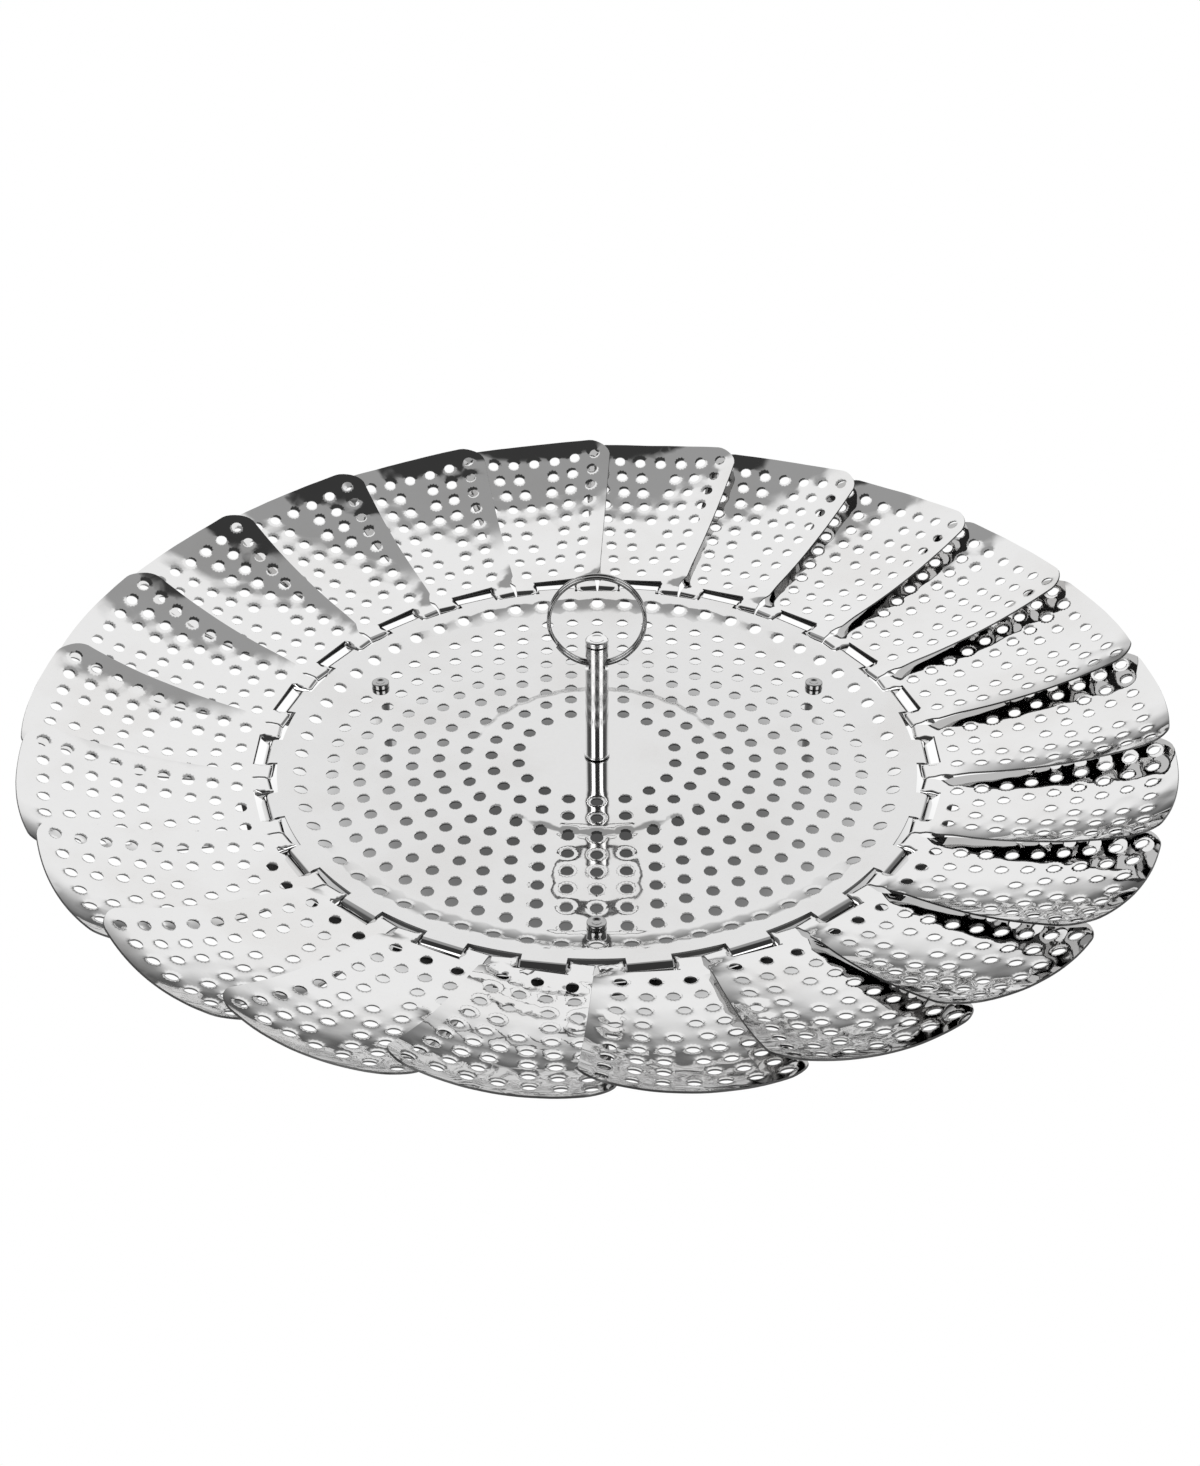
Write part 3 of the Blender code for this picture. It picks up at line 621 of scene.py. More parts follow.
RIVET_HOLE_RADIUS = 1.4 * MM
RIVET_KEEP_OFF = 3.85 * MM
DRAW_DEPTH = 0.05 * MM
DRAW_FADE = 1.1 * MM
EDGE_ROLL_DEPTH = 0.12 * MM
EDGE_ROLL_FADE = 0.18 * MM
RIM_MIDDLE_Z = PLATE_TOP_Z - PLATE_SHEET / 2 + PLATE_RIM_RISE
leg_places = [np.array(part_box(f"leg_{n}")[0].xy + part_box(f"leg_{n}")[1].xy) / 2 for n in (1, 2, 3)]
print("petals:", PETAL_COUNT, "hinge radius:", round(HINGE_RADIUS / MM, 2), "mm")

# %% Sizes of a tongue
TONGUE_WIDTH = 9.9 * MM
TONGUE_CURL = math.radians(230)
TONGUE_ROWS = 20
TONGUE_SIDE_POINTS = 7
TONGUE_GRID_POINTS = 5
CURL_START = 1.4 * MM
CURL_FIRST_TURN = math.radians(17)
CURL_FIRST_RADIUS = 1.2 * MM
CURL_RADIUS = 3.0 * MM
CURL_END_RADIUS = 1.3 * MM
CURL_REACH = 12 * MM
CURL_STEP = 0.01 * MM
RIM_ARC_POINTS = 10
print("tongue width:", round(TONGUE_WIDTH / MM, 1), "mm")

# %% Outline and holes of the base plate
def petal_azimuth(number):
    axis_place = joints[f"petal_{number:02d}_fold"]["pos_m"]
    return math.atan2(axis_place[1], axis_place[0])


def sector_of(azimuth):
    """Azimuth of the nearest petal's middle line."""
    first = petal_azimuth(1)
    return first + PETAL_STEP * np.round((azimuth - first) / PETAL_STEP)


def tongue_path():
    """Length along a tongue beyond the rim, and how far out and down that length has come."""
    lengths = np.arange(0.0, CURL_REACH, CURL_STEP)
    second = CURL_START + CURL_FIRST_RADIUS * CURL_FIRST_TURN
    third = second + CURL_RADIUS * (math.pi / 2 - CURL_FIRST_TURN)
    starts = (0.0, CURL_START, second, third)
    bends = np.array((0.0, 1 / CURL_FIRST_RADIUS, 1 / CURL_RADIUS, 1 / CURL_END_RADIUS))
    slopes = np.cumsum(bends[np.searchsorted(starts, lengths, side="right") - 1]) * CURL_STEP
    used = slopes < TONGUE_CURL
    out, down = (np.cumsum(part(slopes[used])) * CURL_STEP for part in (np.cos, np.sin))
    return lengths[used], out, down


tongue_lengths, tongue_out, tongue_down = tongue_path()
TONGUE_LENGTH = tongue_lengths[-1]
tongue_rows = np.linspace(CURL_START / 2, TONGUE_LENGTH, TONGUE_ROWS)


def tongue_point(azimuth, length, side):
    outward = np.array((math.cos(azimuth), math.sin(azimuth)))
    across = np.array((-outward[1], outward[0]))
    return outward * (PLATE_RIM_RADIUS + length) + across * side


def plate_outline():
    root = math.asin(TONGUE_WIDTH / 2 / PLATE_RIM_RADIUS)
    root_length = PLATE_RIM_RADIUS * (math.cos(root) - 1)
    sides = np.linspace(-1, 1, TONGUE_SIDE_POINTS) * TONGUE_WIDTH / 2
    lengths = np.concatenate(([root_length], tongue_rows))
    points = []
    for number in range(PETAL_COUNT, 0, -1):
        azimuth = petal_azimuth(number)
        points += [tongue_point(azimuth, length, sides[0]) for length in lengths]
        points += [tongue_point(azimuth, TONGUE_LENGTH, side) for side in sides[1:-1]]
        points += [tongue_point(azimuth, length, sides[-1]) for length in lengths[::-1]]
        for angle in np.linspace(azimuth + root, azimuth + PETAL_STEP - root, RIM_ARC_POINTS)[1:-1]:
            points.append(PLATE_RIM_RADIUS * np.array((math.cos(angle), math.sin(angle))))
    return np.array(points)


def tongue_grid():
    """Points that let the tongues' middles curl as smoothly as their sides."""
    return [tongue_point(petal_azimuth(number), length, side)
            for number in range(1, PETAL_COUNT + 1)
            for length in tongue_rows[:-1]
            for side in np.linspace(-1, 1, TONGUE_GRID_POINTS)[1:-1] * TONGUE_WIDTH / 2]


def steam_holes():
    rings = [(STEAM_RING_PITCH * ring, ring) for ring in STEAM_RINGS]
    rings.append((STEAM_STEP_RING_RADIUS, STEAM_RINGS[-1]))
    centres = np.concatenate([ring_of_points((0, 0), radius, STEAM_RING_GROWTH * ring, math.pi / 2)
                              for radius, ring in rings])
    return centres[least_distances(centres, np.array(leg_places)) > RIVET_KEEP_OFF]


steam_centres = steam_holes()
print("steam holes:", len(steam_centres))

# %% Shape of the base plate
profile_radii = np.arange(0.0, PROFILE_REACH, PROFILE_STEP)
step_share = share_of(*STEP_SPAN, profile_radii)
step_slopes = ease(*STEP_FOOT_SHARES, step_share) * (1 - ease(*STEP_TOP_SHARES, step_share))
step_slopes = step_slopes * (STEP_STEEPNESS + STEP_STEEPENING * step_share)
step_heights = pressed_profile(step_slopes, profile_radii, PLATE_RIM_RISE)
fall_share = share_of(*PLATEAU_SPAN, profile_radii)
plateau_slopes = ease(*PLATEAU_TOP_SHARES, fall_share) * (1 - ease(*PLATEAU_FOOT_SHARES, fall_share))
plateau_heights = PLATEAU_RISE - pressed_profile(plateau_slopes, profile_radii, PLATEAU_RISE)
plate_heights = PLATE_TOP_Z - PLATE_SHEET / 2 + step_heights + plateau_heights


def hole_draw(flat, centres, radius):
    """How far the punch drew the sheet in around each hole, and rounded its edge."""
    gap = np.maximum(least_distances(flat, centres) - radius, 0.0)
    return DRAW_DEPTH * np.exp(-gap / DRAW_FADE) + EDGE_ROLL_DEPTH * np.exp(-gap / EDGE_ROLL_FADE)


def plate_surface(flat):
    azimuth = sector_of(np.arctan2(flat[:, 1], flat[:, 0]))
    outward = np.column_stack((np.cos(azimuth), np.sin(azimuth)))
    across = np.column_stack((-outward[:, 1], outward[:, 0]))
    reach = (flat * outward).sum(1)
    side = (flat * across).sum(1)
    radius = np.linalg.norm(flat, axis=1)
    height = np.interp(radius, profile_radii, plate_heights)
    height = height - hole_draw(flat, steam_centres, STEAM_HOLE_RADIUS)
    uneven = waves(flat, PLATE_WAVE_SEED, *PLATE_WAVE_LENGTHS, PLATE_WAVE_HEIGHT)
    height = height + uneven * (1 - ease(*PLATE_WAVE_FADE_SHARES, radius / PLATE_RIM_RADIUS))
    beyond = reach - PLATE_RIM_RADIUS
    curled = beyond > 0
    curled_reach = PLATE_RIM_RADIUS + np.interp(beyond, tongue_lengths, tongue_out)
    curled_height = RIM_MIDDLE_Z - np.interp(beyond, tongue_lengths, tongue_down)
    plan = outward * np.where(curled, curled_reach, reach)[:, None] + across * side[:, None]
    return np.column_stack((plan, np.where(curled, curled_height, height)))


# %% Base plate
plate_centres = np.concatenate((steam_centres, [(0.0, 0.0)], leg_places))
plate_radii = [STEAM_HOLE_RADIUS] * len(steam_centres) + [SCREW_HOLE_RADIUS]
plate_radii += [RIVET_HOLE_RADIUS] * len(leg_places)
plate_layout = lay_out(plate_outline(), plate_centres, plate_radii, PLATE_GRID_SPACING,
                       PLATE_RIM_RADIUS, tongue_grid())
plate_shell = press(*plate_layout, plate_surface, PLATE_SHEET)
plate = make_piece("pressed_base_plate", [plate_shell], (PLATE_FINISH, SHEARED_EDGE_AND_SHADE_FINISH),
                   "base", "base_plate")
print("base plate faces:", len(plate.data.polygons))

# %% [markdown]
# ## Petals
#
# Each petal is a stamping that widens outwards, curves up along its length and is dished like a shallow
# spoon. Its clockwise edge is raised by a small twist, so that it passes over the next petal. At the inner
# end a window is cut, and the metal from it is folded down on both sides as two lugs that hold the hinge
# bar. One surface function bends the sheet and the lugs, and turns down a short lip at the end of each ear.
# A narrow strip is folded back under the window's outer edge, and its inside reads dark through the holes:
# it is painted shade, a near-black finish.
#
# The 22 petals share one layout. Each gets its own unevenness, because thin sheet never comes out of the
# press the same twice, and it is this that breaks the reflections up into lively patches.

# %% Sizes of a petal
PETAL_SHEET = 0.45 * MM
PETAL_RISE = 1.7 * MM
PETAL_LENGTH = 58.5 * MM
PETAL_INNER_SLOPE = math.radians(4.5)
PETAL_TIP_SLOPE = math.radians(26.8)
PETAL_TIP_LIFT = 0.5 * MM
PETAL_TIP_LIFT_LENGTH = 9.0 * MM
PETAL_DISH_RADII = (90.0 * MM, 74.0 * MM)
PETAL_DISH_SPAN = (0.0, 10 * MM)
PETAL_TWIST = -0.075
PETAL_TWIST_SPAN = (0.0, 5 * MM)
PETAL_FLARE_SPAN = (2.2 * MM, 5.0 * MM)
PETAL_ROW_SPAN = (6.7 * MM, 52.3 * MM)
PETAL_OVERLAPS = (0.9 * MM, 3.9 * MM)
PETAL_TIP_BULGE = 2.6 * MM
PETAL_CORNER_RADIUS = 5.5 * MM
PETAL_WINDOW_REACH = 3.0 * MM
PETAL_GRID_SPACING = 1.8 * MM
SIDE_POINTS = 40
CORNER_POINTS = 9
TIP_POINTS = 12
WINDOW_POINTS = 5
BEND_RADIUS = PETAL_LENGTH / (PETAL_TIP_SLOPE - PETAL_INNER_SLOPE)
EAR_LENGTH = 1.9 * MM
EAR_HALF_WIDTH = 11.15 * MM
EAR_INNER_CORNER = 1.5 * MM
LIP_DROP = 0.8 * MM
LIP_BEND = 0.8 * MM
LIP_SPAN = (6.1 * MM, 6.9 * MM)
LIP_ROWS = (-0.6, -1.0, -1.3, -1.6)
LIP_COLUMNS = (6.4, 6.9, 7.6, 8.3, 9.0, 9.7, 10.4, 11.0)
LUG_OFFSET = 5.525 * MM
LUG_BEND = 0.5 * MM
LUG_HALF_LENGTH = 1.0 * MM
LUG_FOOT = -1.1 * MM
LUG_RELIEF = 0.4 * MM
LUG_CORNER = ((0.0, 1.0 * MM), (0.3 * MM, 0.2 * MM), (0.6 * MM, 0.0))
BAR_RADIUS = 0.5 * MM
BAR_SIDES = 24
print("petal bend radius:", round(BEND_RADIUS / MM, 1), "mm")

# %% Outline of a petal
def petal_half_width(along):
    """The ear's half width, and further out half a petal's share of the circle and an overlap."""
    overlap = mix(*PETAL_OVERLAPS, share_of(*PETAL_ROW_SPAN, along))
    flare = (HINGE_RADIUS + along) * math.tan(PETAL_STEP / 2) + overlap
    return mix(EAR_HALF_WIDTH, flare, ease(*PETAL_FLARE_SPAN, along))


def petal_outline():
    """The blank's edge: up one side, round the tip, down the other, and along the ears and lugs."""
    corner_start = PETAL_LENGTH - PETAL_TIP_BULGE - PETAL_CORNER_RADIUS
    corner_side = petal_half_width(corner_start)
    side = np.linspace(-EAR_LENGTH, corner_start, SIDE_POINTS)
    edge = np.column_stack((side, petal_half_width(side)))
    turn = np.linspace(0, math.pi / 2, CORNER_POINTS)[1:]
    width = corner_side - PETAL_CORNER_RADIUS * (1 - np.cos(turn))
    bulge = PETAL_TIP_BULGE * np.sin(turn) ** 4 * (1 - (width / corner_side) ** 2)
    corner = np.column_stack((corner_start + PETAL_CORNER_RADIUS * np.sin(turn) + bulge, width))
    width = np.linspace(width[-1], 0, TIP_POINTS)[1:]
    bulge = PETAL_TIP_BULGE * (1 - (width / corner_side) ** 2)
    tip = np.column_stack((corner_start + PETAL_CORNER_RADIUS + bulge, width))
    half = np.concatenate((lug_outline(), edge, corner, tip))
    mirror = half[:-1][::-1] * (1, -1)
    return np.concatenate((half, mirror))[::-1]


def lug_outline():
    """The window's edge from its middle to the ear, with the lug that will be folded down."""
    root = LUG_OFFSET + LUG_BEND
    foot = root - LUG_BEND * math.pi / 2 - (PETAL_RISE - LUG_BEND - LUG_FOOT)
    relief = PETAL_WINDOW_REACH - LUG_RELIEF
    middle = [(PETAL_WINDOW_REACH, across) for across in np.linspace(0.0, root, WINDOW_POINTS)[:-1]]
    outer = [(PETAL_WINDOW_REACH, root), (relief, root), (relief, root - LUG_BEND)]
    lug = [(LUG_HALF_LENGTH - cut, foot + up) for cut, up in LUG_CORNER]
    lug += [(cut - LUG_HALF_LENGTH, foot + up) for cut, up in reversed(LUG_CORNER)]
    inner = [(-EAR_LENGTH, root - LUG_BEND), (-EAR_LENGTH, root + EAR_INNER_CORNER)]
    return np.concatenate((middle, outer, lug, inner))


outline = petal_outline()
print("petal outline points:", len(outline))

# %% Holes of a petal
PETAL_HOLE_RADIUS = 1.5 * MM
PETAL_ROWS = 9
ROW_PITCH = 5.7 * MM
MIDDLE_HOLE_ROWS = (0, 4, 8)
HOLE_COLUMNS = ((0, 0, 7.5 * MM, 1.325 * MM), (1, 0, 1.5 * MM, 1.325 * MM), (5, 5, 2.8 * MM, 1.1 * MM))


def petal_holes():
    """A column has its first row, a row to count from, its place there and its spread from row to row."""
    centres = []
    for row in range(PETAL_ROWS):
        along = PETAL_ROW_SPAN[0] + ROW_PITCH * row
        if row in MIDDLE_HOLE_ROWS:
            centres.append((along, 0.0))
        for first_row, given_row, place, spread in HOLE_COLUMNS:
            if row >= first_row:
                centres += [(along, side * (place + spread * (row - given_row))) for side in (1, -1)]
    return np.array(centres)


petal_centres = petal_holes()
print("holes in a petal:", len(petal_centres))

# %% Dents
PETAL_DENTS = {
    12: ((4.5, -9.5, 1.6, 0.8), (6.0, -7.0, 1.3, 0.7), (8.0, -4.2, 1.2, 0.5), (8.8, -1.0, 1.2, 0.5),
         (9.0, 3.0, 1.4, 0.7), (8.0, 6.0, 1.3, 0.7), (8.6, 8.6, 1.5, 0.8), (19.0, 11.5, 1.8, 1.2),
         (22.5, 11.0, 1.5, 0.8), (16.0, -7.5, 1.0, 0.35), (16.8, -5.5, 1.0, 0.4), (17.4, -3.5, 1.0, 0.4),
         (18.0, -1.5, 1.0, 0.4), (18.4, 0.5, 1.0, 0.4), (18.6, 2.5, 1.0, 0.4), (18.6, 4.5, 1.0, 0.35)),
    13: ((22.0, 10.0, 2.2, 0.9), (25.0, 11.5, 1.8, 0.7)),
    10: ((24.0, -12.0, 2.2, 1.0), (29.0, -12.5, 2.2, 0.9)),
    11: ((22.0, -12.0, 1.8, 0.8), (27.0, -12.5, 1.8, 0.7)),
}


def dent_depth(flat, dents):
    """Depth of dents, each a row of along, across, radius and depth in millimetres."""
    total = np.zeros(len(flat))
    for along, across, radius, depth in dents:
        square = ((flat / MM - (along, across)) ** 2).sum(1)
        total += depth * MM * np.exp(-square / radius ** 2)
    return total


print("dented petals:", len(PETAL_DENTS))

# %% Shape of a petal
LEAST_TURN = 1e-6
PETAL_WAVE_SEED = 100
PETAL_WAVE_LENGTHS = (14 * MM, 40 * MM)
PETAL_WAVE_HEIGHTS = (0.05, 0.11)
PETAL_WAVE_SPAN = (2 * MM, 14 * MM)
RIPPLE_SEED = 150
RIPPLE_LENGTHS = (5 * MM, 12 * MM)
RIPPLE_HEIGHT = 0.045 * MM
RIPPLE_SPAN = (20 * MM, 50 * MM)


def bend_sheet(along, across):
    """Where a point of the blank ends up: outward, anticlockwise and up from the hinge bar."""
    slope = PETAL_INNER_SLOPE + np.maximum(along, 0.0) / BEND_RADIUS
    run, climb = math.cos(PETAL_INNER_SLOPE), math.sin(PETAL_INNER_SLOPE)
    before = np.minimum(along, 0.0)
    outward = BEND_RADIUS * (np.sin(slope) - climb) + before * run
    up = BEND_RADIUS * (run - np.cos(slope)) + before * climb
    dish_radius = mix(*PETAL_DISH_RADII, np.clip(along / PETAL_LENGTH, 0.0, 1.0))
    turn = across / dish_radius * ease(*PETAL_DISH_SPAN, along)
    turn = np.where(np.abs(turn) < LEAST_TURN, LEAST_TURN, turn)
    side = across * np.sin(turn) / turn
    lift = across * (1 - np.cos(turn)) / turn
    twist = PETAL_TWIST * ease(*PETAL_TWIST_SPAN, along)
    sideways = side * np.cos(twist) - lift * np.sin(twist)
    rise = side * np.sin(twist) + lift * np.cos(twist)
    lip = LIP_DROP * ease(-LIP_BEND, -EAR_LENGTH, along) * ease(*LIP_SPAN, np.abs(across))
    tip = np.clip(1 - (PETAL_LENGTH - along) / PETAL_TIP_LIFT_LENGTH, 0.0, 1.0)
    height = up + rise * np.cos(slope) + PETAL_RISE - lip + PETAL_TIP_LIFT * tip ** 2
    return np.column_stack((outward - rise * np.sin(slope), sideways, height))


def fold_lugs(along, across):
    """Points of the two lugs: over the bend and straight down beside the bar."""
    root = LUG_OFFSET + LUG_BEND
    rolled = np.clip((root - np.abs(across)) / LUG_BEND, 0.0, math.pi / 2)
    down = np.maximum(root - np.abs(across) - LUG_BEND * math.pi / 2, 0.0)
    side = np.sign(across) * (root - LUG_BEND * np.sin(rolled))
    height = PETAL_RISE - LUG_BEND * (1 - np.cos(rolled)) - down
    return np.column_stack((along, side, height))


def petal_surface(number):
    """The surface function of one petal, with its own unevenness."""
    seed = PETAL_WAVE_SEED + number
    strength = np.random.default_rng(seed).uniform(*PETAL_WAVE_HEIGHTS) * MM
    dents = PETAL_DENTS.get(number, ())

    def surface(flat):
        along, across = flat.T
        sheet = bend_sheet(along, across)
        uneven = waves(flat, seed, *PETAL_WAVE_LENGTHS, strength) * ease(*PETAL_WAVE_SPAN, along)
        ripples = waves(flat, RIPPLE_SEED + number, *RIPPLE_LENGTHS, RIPPLE_HEIGHT)
        uneven += ripples * ease(*RIPPLE_SPAN, along)
        sheet[:, 2] += uneven - hole_draw(flat, petal_centres, PETAL_HOLE_RADIUS) - dent_depth(flat, dents)
        lug = (np.abs(across) < LUG_OFFSET + LUG_BEND) & (along < PETAL_WINDOW_REACH - LUG_RELIEF / 2)
        return np.where(lug[:, None], fold_lugs(along, across), sheet)

    return surface


def petal_frame(number):
    """From a petal's own outward, anticlockwise and up to the world, and the rotation alone."""
    azimuth = petal_azimuth(number)
    turn = np.array(((math.cos(azimuth), -math.sin(azimuth), 0.0),
                     (math.sin(azimuth), math.cos(azimuth), 0.0),
                     (0.0, 0.0, 1.0)))
    return turn, np.array(joints[f"petal_{number:02d}_fold"]["pos_m"])


# %% Folded strips
LEAF_HALF_WIDTH = 9.8 * MM
LEAF_ROOT = -1.0 * MM
LEAF_LENGTH = 3.1 * MM
LEAF_SHEET = 0.3 * MM
LEAF_BEND = 0.5 * MM
LEAF_BEND_ROWS = 7
LEAF_TURN = math.radians(150)
LEAF_BEND_ALONG = 3.6 * MM
LEAF_BEND_Z = 0.95 * MM
LEAF_COLUMNS = 8


def leaf_surface(flat):
    """The strip folded back under the window's outer edge: round its bend and down at a slant."""
    length, across = flat.T
    rolled = np.clip(length / LEAF_BEND, 0.0, LEAF_TURN)
    before = np.minimum(length, 0.0)
    after = np.maximum(length - LEAF_BEND * LEAF_TURN, 0.0)
    along = LEAF_BEND_ALONG - LEAF_BEND * np.sin(rolled) - before - after * math.cos(LEAF_TURN)
    height = LEAF_BEND_Z + LEAF_BEND * np.cos(rolled) - after * math.sin(LEAF_TURN)
    return np.column_stack((along, across, height))


def leaf_layout():
    bend_end = LEAF_BEND * LEAF_TURN
    bend = np.linspace(0.0, bend_end, LEAF_BEND_ROWS)
    lengths = np.concatenate(([LEAF_ROOT], bend, [bend_end + LEAF_LENGTH]))
    sides = np.linspace(-LEAF_HALF_WIDTH, LEAF_HALF_WIDTH, LEAF_COLUMNS + 1)
    flat = np.array([(length, side) for length in lengths for side in sides])
    corner = np.add.outer(np.arange(len(lengths) - 1) * len(sides), np.arange(LEAF_COLUMNS)).ravel()
    lower = np.column_stack((corner, corner + len(sides), corner + len(sides) + 1))
    upper = np.column_stack((corner, corner + len(sides) + 1, corner + 1))
    return flat, np.stack((lower, upper), axis=1).reshape(-1, 3)


# The inside and the bend carry the near-black finish of painted shade,
# the straight end's outside and the walls are petal steel.
leaf = press(*leaf_layout(), leaf_surface, LEAF_SHEET)
inside, outer, walls = leaf.face_sets
leaf.face_sets = [inside, outer[:-2 * LEAF_COLUMNS], outer[-2 * LEAF_COLUMNS:], walls]
leaf.finish_numbers = [0, 0, 1, 1]
print("faces of a folded strip:", sum(len(faces) for faces in leaf.face_sets))

# %% Petals
lip_points = [(along * MM, side * across * MM)
              for along in LIP_ROWS for across in LIP_COLUMNS for side in (-1, 1)]
petal_radii = [PETAL_HOLE_RADIUS] * len(petal_centres)
petal_layout = lay_out(outline, petal_centres, petal_radii, PETAL_GRID_SPACING, extra=lip_points)
hinge_line = np.array(((0.0, -LUG_OFFSET, 0.0), (0.0, LUG_OFFSET, 0.0)))
hinge_bar = sweep(hinge_line, (0.0, 0.0, 1.0), BAR_RADIUS, BAR_SIDES)

for number in range(1, PETAL_COUNT + 1):
    name = f"petal_{number:02d}"
    place = petal_frame(number)
    sheet = press(*petal_layout, petal_surface(number), PETAL_SHEET)
    shells = [sheet.moved(*place), hinge_bar.moved(*place)]
    make_piece(f"perforated_{name}", shells, (PETAL_FINISH, SHEARED_EDGE_AND_SHADE_FINISH), name, name)
    # Finish 0 of the strip is painted shade.
    make_piece(f"folded_strip_{number:02d}", [leaf.moved(*place)], (PAINTED_SHADE_FINISH, PETAL_FINISH),
               name, name)
print("points of a petal's layout:", len(petal_layout[0]))

# %% [markdown]
# ## Turned pieces
#
# Rods, rivets, cap, screw and washer come off a lathe or a header. `turn_profile` rounds each corner of a
# profile and spins it. Along a rounded corner the normal swings from one side's to the other's, so no
# corner is quite sharp and each catches a thin line of light.

# %% Lathe
ROUND_SIDES = 64
ARC_STEPS = 4
CORNER_LIMIT = 2.5
EDGE_SOFTNESS = 0.2 * MM


def soften(profile, radius):
    """Points and normals of a profile of (radius, height) whose inner corners are rounded."""
    profile = np.array(profile, float)
    runs = unit(np.diff(profile, axis=0))
    sides = np.column_stack((runs[:, 1], -runs[:, 0]))
    lengths = np.linalg.norm(np.diff(profile, axis=0), axis=1)
    points = [profile[0]]
    normals = [sides[0]]
    for index in range(1, len(profile) - 1):
        cut = min(radius, lengths[index - 1] / CORNER_LIMIT, lengths[index] / CORNER_LIMIT)
        first = profile[index] - runs[index - 1] * cut
        last = profile[index] + runs[index] * cut
        for step in range(ARC_STEPS + 1):
            share = step / ARC_STEPS
            rest = 1 - share
            points.append(first * rest ** 2 + profile[index] * 2 * share * rest + last * share ** 2)
            normals.append(sides[index - 1] * rest + sides[index] * share)
    points.append(profile[-1])
    normals.append(sides[-1])
    return np.array(points), unit(np.array(normals))


def turn_profile(profile, radius, centre=(0.0, 0.0)):
    """Spin a profile about a vertical axis. It runs outward at the foot, up, and inward at the top."""
    line, line_normals = soften(profile, radius)
    angles = np.arange(ROUND_SIDES) * math.tau / ROUND_SIDES
    around = np.column_stack((np.cos(angles), np.sin(angles), np.ones(ROUND_SIDES)))
    points, normals = ((pairs[:, None, [0, 0, 1]] * around).reshape(-1, 3) for pairs in (line, line_normals))
    twins = np.arange(len(points)).reshape(len(line), ROUND_SIDES)
    after = np.roll(twins, -1, axis=1)
    quads = []
    fans = []
    for row in range(len(line) - 1):
        if line[row, 0] == 0:
            fans.append(np.column_stack((twins[row], after[row + 1], twins[row + 1])))
        elif line[row + 1, 0] == 0:
            fans.append(np.column_stack((twins[row], after[row], twins[row + 1])))
        else:
            quads.append(np.column_stack((twins[row], after[row], after[row + 1], twins[row + 1])))
    for row in np.flatnonzero(line[:, 0] == 0):
        twins[row] = twins[row, 0]
    if np.allclose(line[0], line[-1]):
        twins[-1] = twins[0]
    twins = twins.ravel()
    face_sets = [np.concatenate(faces) for faces in (fans, quads) if faces]
    corner_normals = np.concatenate([normals[faces.ravel()] for faces in face_sets])
    used, joined = np.unique(twins, return_inverse=True)
    face_sets = [joined[faces] for faces in face_sets]
    return Shell(points[used] + (centre[0], centre[1], 0.0), face_sets, corner_normals)


def ring_profile(inner, outer, foot, top):
    """The closed profile of a ring with a square section."""
    return (inner, foot), (outer, foot), (outer, top), (inner, top), (inner, foot)


def head_end(radius, top, bevel, hollow):
    """The last points of a headed profile: a bevelled edge, then a hollow given by radii and depths."""
    edge = ((radius, top - bevel[1]), (radius - bevel[0], top))
    return edge + tuple((reach, top - depth) for reach, depth in hollow)


def turned_size(node):
    """Radius, foot and top of a CAD node that stands upright."""
    low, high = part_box(node)
    return (high.x - low.x) / 2, low.z, high.z


def turned_piece(name, profile, finish, node, centre=(0.0, 0.0), softness=EDGE_SOFTNESS):
    """Turn a profile into a piece that belongs to the base."""
    return make_piece(name, [turn_profile(profile, softness, centre)], (finish,), "base", node)


print("lathe is ready")

# %% [markdown]
# ## Hem under the rim
#
# Under the rim's edge runs a short hem in a near-black finish that is painted shade: it stands for the
# basket's own shade, and in the slots between the rim and the petals we see it as black.

# %% Hem
HEM_RADIUS = 77.2 * MM
HEM_SHEET = 0.3 * MM
HEM_FOOT_Z = 28.1 * MM
HEM_CLEARANCE = 0.05 * MM
HEM_SOFTNESS = 0.1 * MM
HEM_TOP_Z = RIM_MIDDLE_Z - PLATE_SHEET / 2 - HEM_CLEARANCE
profile = ring_profile(HEM_RADIUS, HEM_RADIUS + HEM_SHEET, HEM_FOOT_Z, HEM_TOP_Z)
hem = turned_piece("painted_shade_hem", profile, PAINTED_SHADE_FINISH, "base_plate", softness=HEM_SOFTNESS)
print("hem faces:", len(hem.data.polygons))

# %% [markdown]
# ## Legs and rivets
#
# Three plain rods carry the plate, each riveted through it from above. The rivet's head is a small drum
# dimpled by the riveting punch. Its steel is darker than the plate's as painted shade, and its sides, which
# mirror the plate around it, look almost black.

# %% Legs and rivets
ROD_BEVEL = 0.5 * MM
SHANK_RADIUS = 1.1 * MM
RIVET_SEAT_Z = PLATE_TOP_Z + 0.1 * MM
RIVET_BEVEL = (0.35 * MM, 0.2 * MM)
RIVET_DIMPLE = ((1.3 * MM, 0.0), (0.7 * MM, 0.35 * MM), (0.0, 0.4 * MM))

